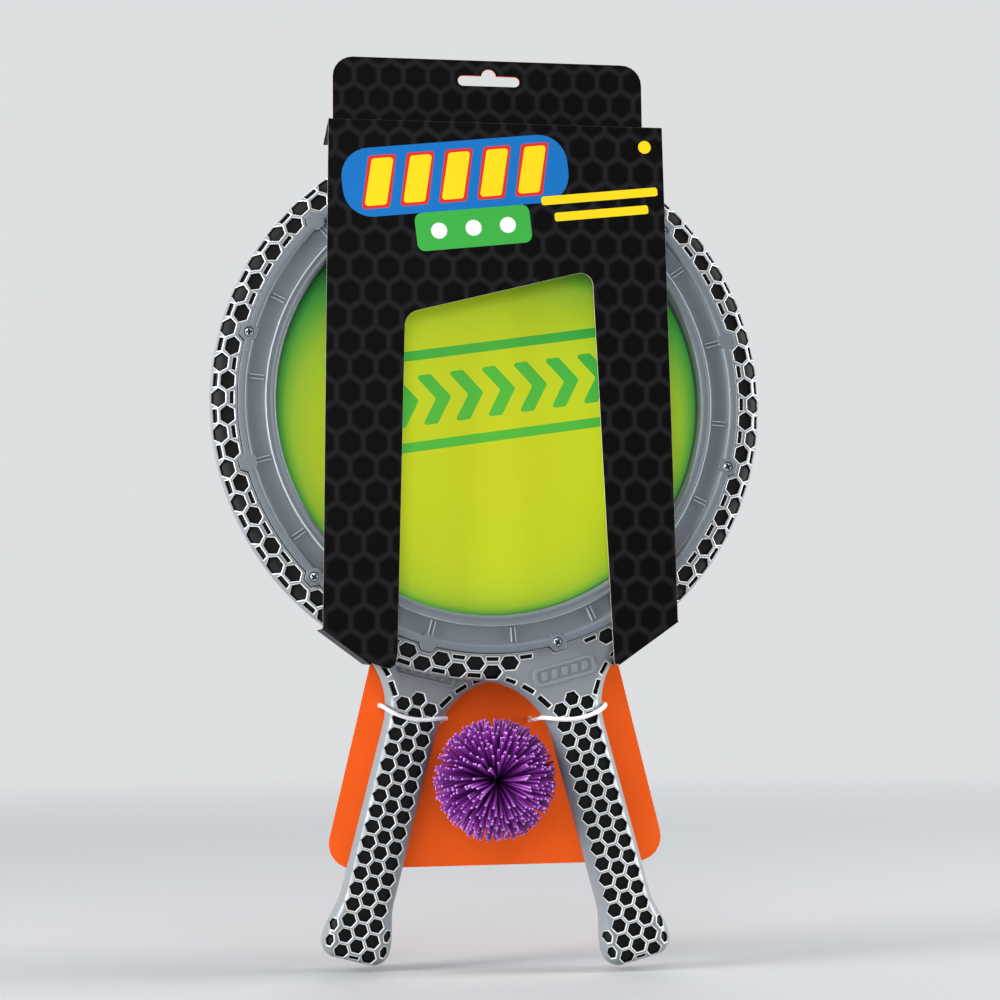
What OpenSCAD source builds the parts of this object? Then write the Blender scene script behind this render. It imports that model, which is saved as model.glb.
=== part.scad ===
// Paddle ball game: two round bats with a stretched bouncing sheet, a ball of rubber strands,
// and the hanging card that carries them. Millimetres, +Z up, the bats face -Y.
// The origin is the middle of the hang slot, on the rear face of the card.

/* [Bat head] */
// Outer radius of the round head
head_r = 143.7; // [138:0.1:150]
// Half thickness of the head and the grip
comb_half_t = 9.5; // [8:0.1:11]
// Width of the flat band before the edge rolls over
comb_flat_w = 5.6; // [4:0.1:7]
// Wall of the two outer shells
shell_wall = 2; // [1.4:0.1:2.6]
// Running gap between neighbouring pieces of a bat
fit_gap = 0.3; // [0.2:0.05:0.5]

/* [Clamp ring] */
// Width of the honeycomb band, from the clamp ring to the edge of the head
comb_w = 14.2; // [12:0.1:17]
// Half thickness of the bat over its two rings
ring_half_t = 12.5; // [12:0.1:13.5]
// Radial width of the outer flange, down to the channel
outer_flange_w = 4.9; // [3.5:0.1:6]
// Radial width of the shallow channel
channel_w = 8.2; // [6:0.1:9.5]
// Depth of the shallow channel
channel_depth = 2.6; // [1.5:0.1:4]
// Radial width of the inner flange with its round lip
inner_flange_w = 5.5; // [4.5:0.1:7]
// Depth of the inner lip below the outer flange
lip_drop = 0.9; // [0.4:0.1:1.5]
// Wall of the ring
ring_wall = 1.8; // [1.4:0.1:2.4]

/* [Bouncing sheet] */
// Thickness of the stretched sheet
sheet_t = 1.2; // [0.8:0.1:1.6]
// Width of the sheet's border under the ring
sheet_border = 14.9; // [13:0.1:15.2]

/* [Ring lugs and screws] */
// Number of lugs round the ring
lug_count = 12; // [12:12:12]
// How far inside the ring's edge the middle of a lug stands
lug_inset = 1.1; // [0.5:0.1:1.7]
// Width of a six-sided lug across its flats
lug_af = 9; // [8:0.1:9.6]
// Diameter of a screw's head
screw_head_d = 4.8; // [4:0.1:5.4]
// Height of a screw's head
screw_head_h = 1.2; // [1:0.1:1.6]
// Diameter of a screw's shank
screw_shank_d = 2.2; // [2:0.1:2.6]
// Depth of a screw below the middle of the bat
screw_reach = 7.5; // [5:0.1:9]

/* [Honeycomb] */
// Number of cells in each row of the head
comb_count = 48; // [48:12:48]
// Width of the slanted webs between the head cells, measured along the rim
comb_web_w = 2.2; // [1.8:0.02:4]
// Height of a head cell across the rim
comb_cell_h = 6.9; // [5.5:0.1:7]
// Distance of the inner row of cells from the ring
inner_row_offset = 5.3; // [5:0.1:5.6]
// Distance of the outer row of cells from the edge of the head
outer_row_margin = 4.6; // [4.3:0.1:5]
// Number of cells in the middle column of the grip
grip_cell_count = 17; // [15:1:17]
// Pitch of the cells along the grip
grip_pitch = 8.1; // [7.9:0.02:8.16]
// Distance between the columns of the grip
grip_column_w = 7.2; // [7:0.1:7.5]
// Height of a grip cell along the grip
grip_cell_h = 6.6; // [5.5:0.1:6.8]
// Width of a grip cell, corner to corner
grip_cell_w = 7.7; // [7:0.1:8]
// Distance of the first grip cell from the edge of the head
grip_first_gap = 14.4; // [14:0.1:18]

/* [Grip] */
// Half width of the straight grip
grip_half_w = 14.2; // [13.5:0.1:15]
// Radius of the hollow curve from the head to the grip
neck_fillet_r = 40; // [38:0.5:50]
// Length of the grip, from the edge of the head to its end
grip_len = 152.8; // [151:0.1:160]
// Half width of the swelling at the end of the grip
pommel_half_w = 18.2; // [16.5:0.1:19.5]
// Length of the swelling at the end of the grip
pommel_len = 34; // [30:0.5:38]
// Roll-over of the grip's edges, seen from the front
grip_roll = 6.6; // [5.5:0.1:7.5]

/* [Hanging card] */
// Half width of the black header
header_half_w = 85.2; // [80:0.1:90]
// Height of the card above the hang slot
header_top = 11.2; // [10:0.1:16]
// Radius of the header's corners
header_corner_r = 11; // [6:0.5:11]
// Thickness of each ply of card
card_t = 0.6; // [0.4:0.05:0.9]
// Lowest edge of the black header, below the hang slot
header_drop = 62; // [50:1:80]
// Lowest edge of the card, below the middle of the front bat's head
card_foot_drop = 241.4; // [236:0.1:260]
// Half width of the card's foot
foot_half_w = 92.5; // [88:0.5:98]
// Radius of the card's foot corners
foot_corner_r = 13; // [8:0.5:20]
// Half width of the card's waist
waist_half_w = 65.5; // [64:0.5:70]
// Width of the hang slot
slot_w = 34; // [30:0.5:36]
// Height of the hang slot
slot_h = 6; // [5:0.1:8]
// Radius of the round notch in the middle of the hang slot
slot_notch_r = 4; // [3.6:0.1:5]

/* [Sleeve] */
// Left edge of the sleeve at its top
sleeve_left = 90.6; // [89:0.1:93]
// Right edge of the sleeve at its top
sleeve_right = 84.2; // [82:0.1:87]
// How far each side of the sleeve spreads towards its foot
sleeve_spread = 4.4; // [3:0.1:6]
// Radius of the window's upper corners
window_corner_r = 8.5; // [5:0.5:10]
// Height of the window's left corner above the middle of the front head
window_left_rise = 44.5; // [35:0.1:60]
// Height of the window's right corner above the middle of the front head
window_right_rise = 68.5; // [55:0.1:80]

/* [Ball] */
// Radius of the ball over its strand tips
ball_r = 32.2; // [29:0.1:36]
// Gap between the ball and each grip beside it
ball_gap = 0.95; // [0.8:0.05:4]
// Radius where the strands grow together
ball_heart_r = 8.5; // [7:0.1:10]
// Thickness of a strand
strand_t = 1.35; // [1:0.05:1.6]
// Cells along one side of the strand pattern, six sides in all
strand_grid = 8; // [8:2:8]

/* [Ties] */
// Diameter of a tie strand
tie_d = 2.2; // [1.8:0.1:2.6]
// Distance of each tie from the edge of the head
tie_drop = 22.4; // [20:0.1:24]
// Bend radius of a tie's corners, at its middle line
tie_bend_r = 8; // [6:0.1:8.5]
// Diameter of the stop behind the card
lock_d = 7.5; // [6:0.1:10]
// Thickness of the stop behind the card
lock_t = 2.4; // [2:0.1:4]

/* [Places] */
// Front bat: middle of its head to the side
front_x = -7.2; // [-8:0.1:-6.6]
// Front bat: top of its head below the hang slot
front_head_drop = 38.9; // [38:0.1:42]
// Back bat: middle of its head to the side
back_x = -3.4; // [-4:0.1:-2.8]
// Back bat: top of its head below the hang slot
back_head_drop = 38.8; // [38:0.1:42]
// Lean of each grip from upright, in degrees
grip_lean = 14.65; // [14.4:0.05:15]

/* [Hidden] */

// One overrun serves every cut
over = 1;
// Facets of round pieces, and steps of drawn curves
fine = 64;
roll_steps = 3;
head_steps = 24;
core_head_steps = 6;
flare_steps = 6;
pommel_steps = 4;
end_steps = 4;

// The ring, the places of the heads and the grips follow the size of the head
ring_out_r = head_r - comb_w;
lug_circle_r = ring_out_r - lug_inset;
front_drop = head_r + front_head_drop;
back_drop = head_r + back_head_drop;
grip_first_cell = head_r + grip_first_gap;
grip_end = head_r + grip_len;
tie_at = head_r + tie_drop;

// Depths of the stack, from the card to the front
back_mid = 2 * card_t + fit_gap + ring_half_t;
front_mid = back_mid + 2 * ring_half_t + fit_gap;
sleeve_back = front_mid + ring_half_t + fit_gap;

// Ring radii
channel_out_r = ring_out_r - outer_flange_w;
channel_in_r = channel_out_r - channel_w;
ring_in_r = channel_in_r - inner_flange_w;
ring_chamfer = 0.9;
channel_slope = 0.8;
lip_round = 0.8;
inner_taper = 0.5;

// Double ribs across the channel
rib_pairs = 18;
rib_w = 0.7;
rib_spread = 2;
rib_end_gap = 0.4;
rib_rise = 1.4;

// Head shells start just outside the ring
comb_in_r = ring_out_r + fit_gap;
comb_roll_r = comb_in_r + comb_flat_w;
core_gap = 0.2;
rim_step_angles = [0, 27, 48, 66];

// Rows of cells of the head: a full cell takes two thirds of the pitch of its row
outer_row_r = head_r - outer_row_margin;
inner_row_r = ring_out_r + inner_row_offset;
comb_cell_w = 2 / 3 * 2 * PI * outer_row_r / comb_count - comb_web_w;

// Short cells beside the two full rows of the head
inner_slot_offset = 2.95;
inner_slot_w = 6.6;
inner_slot_h = 2.1;
// Half the angle that the neck takes out of each row of cells, in degrees
neck_outer_angle = 12;
neck_inner_angle = 8;

// Where the hollow curve of the neck leaves the head and meets the grip
fillet_x = grip_half_w + neck_fillet_r;
fillet_s = sqrt(pow(head_r + neck_fillet_r, 2) - pow(fillet_x, 2));
flare_angle = asin(fillet_x / (head_r + neck_fillet_r));
head_roll = head_r - comb_roll_r;

// Pommel: a swelling with rounded corners
pommel_corner_r = 9;
pommel_rise = pommel_half_w - grip_half_w;
pommel_s = grip_end - pommel_len;
pommel_full_s = grip_end - pommel_corner_r;
pommel_run = pommel_full_s - pommel_s;

// Slots along the hollow curve of the neck: angle on the curve, distance inside the edge,
// length, width and slope in degrees
neck_slots = [
    [37.5, 3.2, 5.4, 1.8, 35],
    [50.5, 3.9, 6.6, 2.1, 45],
    [64, 4.6, 7.6, 2.4, 57]
];
// Narrow cells at the sides of the pommel, and the short one at its end
pommel_cell_x = 14.1;
pommel_cell_w = 4;
pommel_cell_h = 5.6;
end_slot_gap = 6;
end_slot_w = 5;
end_slot_h = 1.6;

// Screws
screw_gap = 0.15;
head_recess = 0.3;
cross_w = 0.8;
cross_len = 2.8;
cross_depth = 0.8;

// The ball lies in the wedge between the two grips, under the point where their lines cross
cross_side = (back_x - front_x) / sin(grip_lean);
cross_along = (front_drop - back_drop) / cos(grip_lean);
cross_x = front_x + (cross_side - cross_along) / 2 * sin(grip_lean);
cross_drop = front_drop + (cross_side - cross_along) / 2 * cos(grip_lean);
ball_x = cross_x;
ball_drop = cross_drop + (ball_r + ball_gap + grip_half_w) / sin(grip_lean);

// Ball and ties
ball_mid = card_t + fit_gap + ball_r;
strand_sway = 1;
ball_tie_share = 0.55;
tie_lift = 0.35;
tie_tail = 0.4;
tie_side = fillet_x - sqrt(pow(neck_fillet_r, 2) - pow(fillet_s - tie_at, 2)) + tie_lift + tie_d / 2;
tie_front = comb_half_t + tie_lift + tie_d / 2;
tie_hole_r = tie_d / 2 + fit_gap;
strand_sides = 8;
bend_steps = 5;

// Card and sleeve outlines, as points of their corners
card_side_drop = 109.4;
card_waist_drop = 128.9;
card_side_end = front_drop + card_side_drop;
waist_drop = front_drop + card_waist_drop;
card_drop = front_drop + card_foot_drop;
ply_shift = 0.5;
sleeve_top = min(front_head_drop, back_head_drop) - 2 * fit_gap - card_t;

// Places below the head: how far to the side, and how far outside the edge of the front head
foot_left_gap = 2.1;
foot_right_gap = 5.5;
left_fold_x = -70.8;
left_fold_gap = 5.2;
right_fold_x = 57;
right_fold_gap = 7;
left_tab_x = -58.6;
left_tab_gap = 3.3;
right_leg_x = 54.4;
right_leg_gap = 6.2;
window_left_x = -51.9;
window_right_x = 45.9;
window_foot_x = -57;
window_foot_inset = 4.9;
function below_head(x, gap) = [x, -front_drop - sqrt(pow(head_r + gap, 2) - pow(x - front_x, 2))];
sleeve_foot_left = below_head(-sleeve_left - sleeve_spread, foot_left_gap);
sleeve_foot_right = below_head(sleeve_right + sleeve_spread, foot_right_gap);
left_fold_end = below_head(left_fold_x, left_fold_gap);
right_fold_end = below_head(right_fold_x, right_fold_gap);
left_tab_end = below_head(left_tab_x, left_tab_gap);
right_leg_end = below_head(right_leg_x, right_leg_gap);
window_left_foot = below_head(window_foot_x, -window_foot_inset);
window_left_top = [window_left_x, window_left_rise - front_drop];
window_right_top = [window_right_x, window_right_rise - front_drop];

// Corner radii of the sleeve
tab_corner_r = 4;
leg_corner_r = 2;
fold_r = 0.2;

function unit(v) = v / norm(v);
function turn(v) = atan2(v[1], v[0]);
function swing(a) = a > 180 ? a - 360 : (a < -180 ? a + 360 : a);

// Points that round the corner b, between a and c
function corner(a, b, c, r, n) =
    let (u = unit(a - b), w = unit(c - b), half = acos(u * w) / 2)
    let (mid = b + unit(u + w) * r / sin(half))
    let (from = turn(b + u * r / tan(half) - mid), to = turn(b + w * r / tan(half) - mid))
    [for (i = [0:n]) mid + r * [cos(from + swing(to - from) * i / n), sin(from + swing(to - from) * i / n)]];

// Outline through corners, each with its own radius; zero keeps a corner sharp
function rounded(pts, radii, n = 6) = [
    for (i = [0:len(pts) - 1])
        let (last = pts[(i + len(pts) - 1) % len(pts)], next = pts[(i + 1) % len(pts)])
        each (radii[i] > 0 ? corner(last, pts[i], next, radii[i], n) : [pts[i]])
];

// A drawing in X and Z becomes a plate between two depths in front of the origin
module plate(near, far) {
    translate([0, -near, 0]) rotate([90, 0, 0]) linear_extrude(height = far - near) children();
}

// A profile of radius and depth is turned about the axis of a head
module turned() {
    rotate([90, 0, 0]) rotate_extrude($fn = 180) children();
}

module rear() { mirror([0, 1, 0]) children(); }

module at_front_bat() {
    translate([front_x, -front_mid, -front_drop]) rotate([0, -grip_lean, 0]) children();
}

module at_back_bat() {
    translate([back_x, -back_mid, -back_drop]) rotate([0, grip_lean, 0]) children();
}

// Places its children on a circle in the plane of the head, at an angle from the grip
module round_head(angle, radius) {
    rotate(angle) translate([0, -radius]) children();
}

// Six-sided cell with its flats above and below
module cell(w, h) {
    polygon([[w / 2, 0], [w / 4, h / 2], [-w / 4, h / 2], [-w / 2, 0], [-w / 4, -h / 2], [w / 4, -h / 2]]);
}

module bar(w, h) { square([w, h], center = true); }

function is_lug(k) = (k * lug_count) % comb_count == 0;

module lug_outline(gap) {
    for (k = [0:lug_count - 1])
        round_head(k * 360 / lug_count, lug_circle_r)
            circle(r = (lug_af / 2 + gap) / cos(30), $fn = 6);
}

// Quarter of a rolled edge, from its flat to its side
function roll(from_x, wide, high, n) =
    [for (i = [0:n]) [from_x + wide * sin(90 * i / n), high * cos(90 * i / n)]];

// Right half of a bat's outline, from the top of the head to the end of the grip. Each station is
// a place across and along the bat, the way it faces, and how far its edge rolls in.
function faced(place, normal, roll_in) = [place, normal, roll_in];
function facing(a) = [sin(a), cos(a)];
function head_stations(n) =
    [for (i = [0:n - 1])
        let (a = 180 + (flare_angle - 180) * i / n)
        faced(head_r * facing(a), facing(a), head_roll)];
function neck_stations() =
    [for (i = [0:flare_steps])
        let (a = flare_angle + (90 - flare_angle) * i / flare_steps)
        faced(
            [fillet_x, fillet_s] - neck_fillet_r * facing(a),
            facing(a),
            head_roll + (grip_roll - head_roll) * i / flare_steps
        )];
function swell_stations() =
    [for (i = [0:pommel_steps - 1])
        let (share = i / pommel_steps, a = 180 * share)
        faced(
            [grip_half_w + pommel_rise * (1 - cos(a)) / 2, pommel_s + pommel_run * share],
            unit([1, -pommel_rise * PI / 2 * sin(a) / pommel_run]),
            grip_roll
        )];
function end_stations() =
    [for (i = [0:end_steps])
        let (a = 90 - 90 * i / end_steps)
        faced(
            [pommel_half_w - pommel_corner_r, pommel_full_s] + pommel_corner_r * facing(a),
            facing(a),
            grip_roll
        )];
function half_outline(n) = concat(head_stations(n), neck_stations(), swell_stations(), end_stations());
function mirrored(f) = faced([-f[0][0], f[0][1]], [-f[1][0], f[1][1]], f[2]);
function whole_outline(n) =
    let (h = half_outline(n))
    concat(h, [for (i = [len(h) - 1:-1:1]) mirrored(h[i])]);

// Levels of a rolled edge, from the front flat to the side: share of the roll, and depth
function front_levels(inset) =
    [for (i = [0:roll_steps])
        [1 - sin(90 * i / roll_steps), -(comb_half_t - inset) * cos(90 * i / roll_steps)]];

// A bat's body as a skin over its outline, drawn in by an inset, through a list of levels
module bat_body(inset, levels, n) {
    outline = whole_outline(n);
    m = len(outline);
    last = len(levels) - 1;
    points = [for (level = levels, f = outline)
        let (in = inset + (f[2] - inset) * level[0])
        [f[0][0] - in * f[1][0], level[1], -f[0][1] + in * f[1][1]]];
    sides = [for (k = [0:last - 1], j = [0:m - 1])
        let (j2 = (j + 1) % m)
        each [[k * m + j, (k + 1) * m + j, (k + 1) * m + j2], [k * m + j, (k + 1) * m + j2, k * m + j2]]];
    front = concat(
        [[0, 1, m - 1]],
        [for (i = [1:(m - 3) / 2]) each [[i, i + 1, m - i - 1], [i, m - i - 1, m - i]]]
    );
    back = [for (t = front) [last * m + t[2], last * m + t[1], last * m + t[0]]];
    polyhedron(points = points, faces = concat(sides, front, back));
}

// Cells of the head, in its own plane
module head_cells() {
    step = 360 / comb_count;
    for (k = [-comb_count / 2:comb_count / 2 - 1]) {
        if (abs(k * step) > neck_outer_angle)
            round_head(k * step, outer_row_r) cell(comb_cell_w, comb_cell_h);
        if (abs((k + 0.5) * step) > neck_inner_angle)
            round_head((k + 0.5) * step, inner_row_r) cell(comb_cell_w, comb_cell_h);
        if (!is_lug(k))
            round_head(k * step, ring_out_r + inner_slot_offset) bar(inner_slot_w, inner_slot_h);
    }
}

// Cells of the neck and the grip
module grip_cells() {
    for (i = [0:grip_cell_count - 1]) {
        s = grip_first_cell + i * grip_pitch;
        translate([0, -s]) cell(grip_cell_w, grip_cell_h);
        for (side = [-1, 1])
            translate([side * grip_column_w, -s - grip_pitch / 2]) cell(grip_cell_w, grip_cell_h);
    }
    last_cell = grip_first_cell + (grip_cell_count - 1) * grip_pitch;
    translate([0, -last_cell - end_slot_gap]) bar(end_slot_w, end_slot_h);
    for (side = [-1, 1]) {
        for (up = [0, 1])
            translate([side * pommel_cell_x, -last_cell + up * grip_pitch])
                cell(pommel_cell_w, pommel_cell_h);
        for (p = neck_slots)
            let (place = [fillet_x, fillet_s] - (neck_fillet_r + p[1]) * facing(p[0]))
            translate([side * place[0], -place[1]]) rotate(side * p[4]) bar(p[2], p[3]);
    }
}

// Inside of the rim as low steps under the rolled edge, from the front flat down to the side
function step_corner(inset, a) =
    [comb_roll_r + (head_roll - inset) * sin(a), (comb_half_t - inset) * cos(a)];
function rim_side(inset) = [for (i = [0:len(rim_step_angles) - 1])
    let (c = step_corner(inset, rim_step_angles[i]))
    let (next = step_corner(inset, i + 1 < len(rim_step_angles) ? rim_step_angles[i + 1] : 90))
    each [c, [c[0], next[1]]]];
module half_rim_section(inset) {
    steps = rim_side(inset);
    polygon(concat(
        [[comb_in_r - over, -over], [comb_in_r - over, comb_half_t - inset]],
        [for (i = [0:len(steps) - 2]) steps[i]],
        [[steps[len(steps) - 1][0], -over]]
    ));
}

// Neck and grip alone, from just beyond the rim to the end
module beyond_rim(start) {
    reach = head_r + over;
    difference() {
        children();
        translate([-reach, -reach / 2, -start]) cube([2 * reach, reach, start + reach]);
    }
}

module shell() {
    difference() {
        bat_body(0, front_levels(0), head_steps);
        turned() half_rim_section(shell_wall);
        beyond_rim(head_r)
            bat_body(shell_wall, concat(front_levels(shell_wall), [[0, over]]), core_head_steps);
        rotate([90, 0, 0]) cylinder(h = 2 * comb_half_t + 2 * over, r = comb_in_r, center = true, $fn = fine);
        plate(over, comb_half_t + over) head_cells();
        plate(over, comb_half_t + over) grip_cells();
        plate(-over, comb_half_t + over) lug_outline(fit_gap);
    }
}

module rim_core() {
    inset = shell_wall + core_gap;
    side = rim_side(inset);
    color("#1c1c1f") difference() {
        turned() polygon(concat(
            [[comb_in_r, comb_half_t - inset]],
            [for (i = [0:len(side) - 2]) side[i]],
            [for (i = [len(side) - 2:-1:0]) [side[i][0], -side[i][1]]],
            [[comb_in_r, -comb_half_t + inset]]
        ));
        plate(-comb_half_t, comb_half_t) lug_outline(fit_gap);
    }
}

module grip_core() {
    inset = shell_wall + core_gap;
    front = front_levels(inset);
    rear = [for (i = [roll_steps - 1:-1:0]) [front[i][0], -front[i][1]]];
    color("#1c1c1f") beyond_rim(head_r + core_gap) bat_body(inset, concat(front, rear), core_head_steps);
}

// Section of the ring from the sheet to the outer flange, hollow beneath
module ring_section() {
    top = ring_half_t;
    lip = top - lip_drop;
    floor_h = top - channel_depth;
    polygon([
        [ring_in_r - inner_taper, sheet_t / 2],
        [ring_in_r, lip - lip_round],
        [ring_in_r + inner_taper, lip - lip_round / 4],
        [ring_in_r + ring_wall, lip],
        [channel_in_r - 2 * channel_slope, lip],
        [channel_in_r, floor_h],
        [channel_out_r, floor_h],
        [channel_out_r + channel_slope, top],
        [ring_out_r - ring_chamfer, top],
        [ring_out_r, top - ring_chamfer],
        [ring_out_r, 0],
        [ring_out_r - ring_wall, 0],
        [ring_out_r - ring_wall, top - ring_wall],
        [channel_out_r + 2 * channel_slope, top - ring_wall],
        [channel_out_r + channel_slope, floor_h - ring_wall],
        [channel_in_r - channel_slope, floor_h - ring_wall],
        [channel_in_r - 3 * channel_slope, lip - ring_wall],
        [ring_in_r + ring_wall, lip - ring_wall],
        [ring_in_r + ring_wall - inner_taper, sheet_t / 2]
    ]);
}

module at_lugs(first) {
    for (k = [0:lug_count / 2 - 1])
        rotate([0, -(first + k * 720 / lug_count), 0]) translate([0, 0, -lug_circle_r]) children();
}

// Round bar or bore between two heights
module bore(low, high, d) {
    translate([0, 0, low]) cylinder(h = high - low, d = d, $fn = fine);
}

// Ring that faces the front; its even lugs hold screws, the odd ones take those of the rear ring
module ring(first) {
    floor_h = ring_half_t - channel_depth;
    recess = screw_head_h + head_recess;
    color("#868e95") difference() {
        union() {
            turned() ring_section();
            plate(0, ring_half_t) lug_outline(0);
            for (k = [0:rib_pairs - 1], side = [-1, 1])
                plate(floor_h - ring_wall / 2, floor_h + rib_rise)
                    round_head((k + 0.5) * 360 / rib_pairs, (channel_in_r + channel_out_r) / 2)
                        translate([side * rib_spread / 2, 0]) bar(rib_w, channel_w - 2 * rib_end_gap);
        }
        at_lugs(first) rotate([90, 0, 0]) {
            bore(-over, ring_half_t + over, screw_shank_d + 2 * screw_gap);
            bore(ring_half_t - recess, ring_half_t + over, screw_head_d + 2 * screw_gap);
        }
        at_lugs(first + 360 / lug_count) rotate([90, 0, 0])
            bore(-over, screw_reach + over, screw_shank_d + screw_gap / 2);
    }
}

module screws(first) {
    top = ring_half_t - head_recess;
    color("#8fa3b5") at_lugs(first) rotate([90, 0, 0]) difference() {
        union() {
            bore(-screw_reach, top - screw_head_h / 2, screw_shank_d);
            bore(top - screw_head_h, top, screw_head_d);
        }
        for (a = [45, 135])
            rotate(a) translate([-cross_len / 2, -cross_w / 2, top - cross_depth])
                cube([cross_len, cross_w, cross_depth + over]);
    }
}

module bat_sheet() {
    color("#a6d334") difference() {
        rotate([90, 0, 0]) cylinder(h = sheet_t, r = ring_in_r + sheet_border, center = true, $fn = fine);
        plate(-sheet_t, sheet_t) lug_outline(fit_gap);
    }
}

// Round strand along a path of points in the XY plane
module strand(path, d) {
    last = len(path) - 1;
    m = strand_sides;
    points = [for (i = [0:last])
        let (u = unit(path[min(i + 1, last)] - path[max(i - 1, 0)]))
        for (k = [0:m - 1]) [
            path[i][0] - u[1] * d / 2 * cos(360 * k / m),
            path[i][1] + u[0] * d / 2 * cos(360 * k / m),
            d / 2 * sin(360 * k / m)
        ]];
    walls = [for (i = [0:last - 1], k = [0:m - 1]) each [
        [i * m + k, i * m + (k + 1) % m, (i + 1) * m + (k + 1) % m],
        [i * m + k, (i + 1) * m + (k + 1) % m, (i + 1) * m + k]
    ]];
    ends = [[for (k = [m - 1:-1:0]) k], [for (k = [0:m - 1]) last * m + k]];
    polyhedron(points = points, faces = concat(walls, ends));
}

// Tie over the front of a neck, with both legs running back through the card
module tie(depth) {
    far = depth + lock_t + tie_tail;
    bend = [for (i = [0:bend_steps])
        [tie_side - tie_bend_r, tie_bend_r - tie_front]
            + tie_bend_r * [cos(90 * i / bend_steps), -sin(90 * i / bend_steps)]];
    half = concat([[tie_side, far]], bend);
    color("#f4f4f8") translate([0, 0, -tie_at])
        strand(concat(half, [for (i = [len(half) - 1:-1:0]) [-half[i][0], half[i][1]]]), tie_d);
}

// Where the ties go through the card: centres to the side and down, as a drawing
module tie_places() {
    for (bat = [[front_x, front_drop, 1], [back_x, back_drop, -1]], side = [-1, 1])
        translate([bat[0], -bat[1]]) rotate(bat[2] * grip_lean)
            translate([side * tie_side, -tie_at]) children();
    translate([ball_x, -ball_drop]) children();
}

function slot_outline() =
    let (w = slot_w / 2, h = slot_h / 2)
    rounded([[-w, -h], [w, -h], [w, h], [-w, h]], [for (i = [0:3]) h - fold_r]);

module hang_slot() {
    polygon(slot_outline());
    translate([0, slot_h / 2 - fold_r]) circle(r = slot_notch_r, $fn = fine);
}

module backing_card() {
    half = [
        [header_half_w, header_top - ply_shift], [header_half_w + fold_r, -card_side_end],
        [waist_half_w, -waist_drop], [foot_half_w, -card_drop]
    ];
    radii = [header_corner_r, leg_corner_r, leg_corner_r, foot_corner_r];
    color("#f26522") plate(0, card_t) difference() {
        polygon(rounded(
            concat(half, [for (i = [3:-1:0]) [-half[i][0], half[i][1]]]),
            concat(radii, [for (i = [3:-1:0]) radii[i]])
        ));
        translate([0, -ply_shift / 2]) hang_slot();
        tie_places() circle(r = tie_hole_r, $fn = fine);
    }
}

module header_card() {
    color("#111113") plate(card_t, 2 * card_t) difference() {
        polygon(rounded(
            [[-header_half_w, header_top], [header_half_w, header_top],
             [header_half_w, -header_drop], [-header_half_w, -header_drop]],
            [header_corner_r, header_corner_r, 0, 0]
        ));
        hang_slot();
    }
}

module tie_locks() {
    color("#f4f4f8") plate(-lock_t, 0) tie_places() difference() {
        circle(d = lock_d, $fn = fine);
        circle(r = tie_hole_r, $fn = fine);
    }
}

// Flap that folds straight back under the rims, along the line from a to b
module flap(a, b) {
    u = unit(b - a);
    n = [u[1], -u[0]] * card_t;
    plate(card_t + fit_gap, sleeve_back + card_t) polygon([a, b, b + n, a + n]);
}

module sleeve() {
    color("#111113") {
        plate(sleeve_back, sleeve_back + card_t) polygon(rounded(
            [[-sleeve_left, -sleeve_top], [sleeve_right, -sleeve_top], sleeve_foot_right, right_fold_end,
             right_leg_end, window_right_top, window_left_top, window_left_foot, left_tab_end,
             left_fold_end, sleeve_foot_left],
            [0, 0, 0, 0, leg_corner_r, window_corner_r, window_corner_r, 0, tab_corner_r, 0, 0]
        ));
        translate([-sleeve_left, -sleeve_back - card_t, -sleeve_top - card_t])
            cube([sleeve_left + sleeve_right, sleeve_back - 2 * card_t + card_t - fit_gap, card_t]);
        flap(sleeve_foot_right, right_fold_end);
        flap(left_fold_end, sleeve_foot_left);
    }
}

// Direction of a point of the strand pattern, on one of its six sides
function on_side(side, u, v) =
    let (a = tan(45 * u), b = tan(45 * v))
    unit(side == 0 ? [a, 1, b] : side == 1 ? [-a, -1, b] : side == 2 ? [1, -a, b]
        : side == 3 ? [-1, a, b] : side == 4 ? [a, -b, 1] : [a, b, -1]);

// Every strand grows from one square cell of the pattern and sways a little at its tip
module ball_strands() {
    n = strand_grid;
    sway = rands(-strand_sway, strand_sway, 12 * n * n, 11);
    squares = [[0, 0], [1, 0], [1, 1], [0, 1]];
    strands = [for (side = [0:5], i = [0:n - 1], j = [0:n - 1]) [side, i, j]];
    points = [for (k = [0:len(strands) - 1])
        let (c = strands[k])
        let (mid = on_side(c[0], (2 * c[1] + 1) / n - 1, (2 * c[2] + 1) / n - 1))
        let (across = unit(cross(mid, abs(mid[2]) < 0.9 ? [0, 0, 1] : [1, 0, 0])), along = cross(mid, across))
        let (tip = ball_r * unit(ball_r * mid + sway[2 * k] * across + sway[2 * k + 1] * along))
        let (corners = [for (q = squares)
            on_side(c[0], 2 * (c[1] + q[0]) / n - 1, 2 * (c[2] + q[1]) / n - 1)])
        each concat(
            [for (v = corners) ball_heart_r * v],
            [for (v = corners) tip + strand_t / sqrt(2) * unit(v - mid - ((v - mid) * mid) * mid)]
        )];
    faces = [for (k = [0:len(strands) - 1], f = strand_faces()) [for (v = f) 8 * k + v]];
    color("#7b2fa0") translate([ball_x, -ball_mid, -ball_drop]) polyhedron(points = points, faces = faces);
}

// Four walls, as triangles, and the square tip
function strand_faces() = concat(
    [for (q = [0:3]) each [
        [q, (q + 1) % 4, 4 + (q + 1) % 4],
        [q, 4 + (q + 1) % 4, 4 + q]
    ]],
    [[4, 5, 6], [4, 6, 7]]
);

module ball_tie() {
    color("#f4f4f8") translate([ball_x, -ball_mid + ball_r * ball_tie_share, -ball_drop]) rotate([-90, 0, 0])
        cylinder(h = ball_mid - ball_r * ball_tie_share + lock_t + tie_tail, d = tie_d, $fn = fine);
}

module face_shell() { color("#a9b0b5") shell(); }

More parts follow.
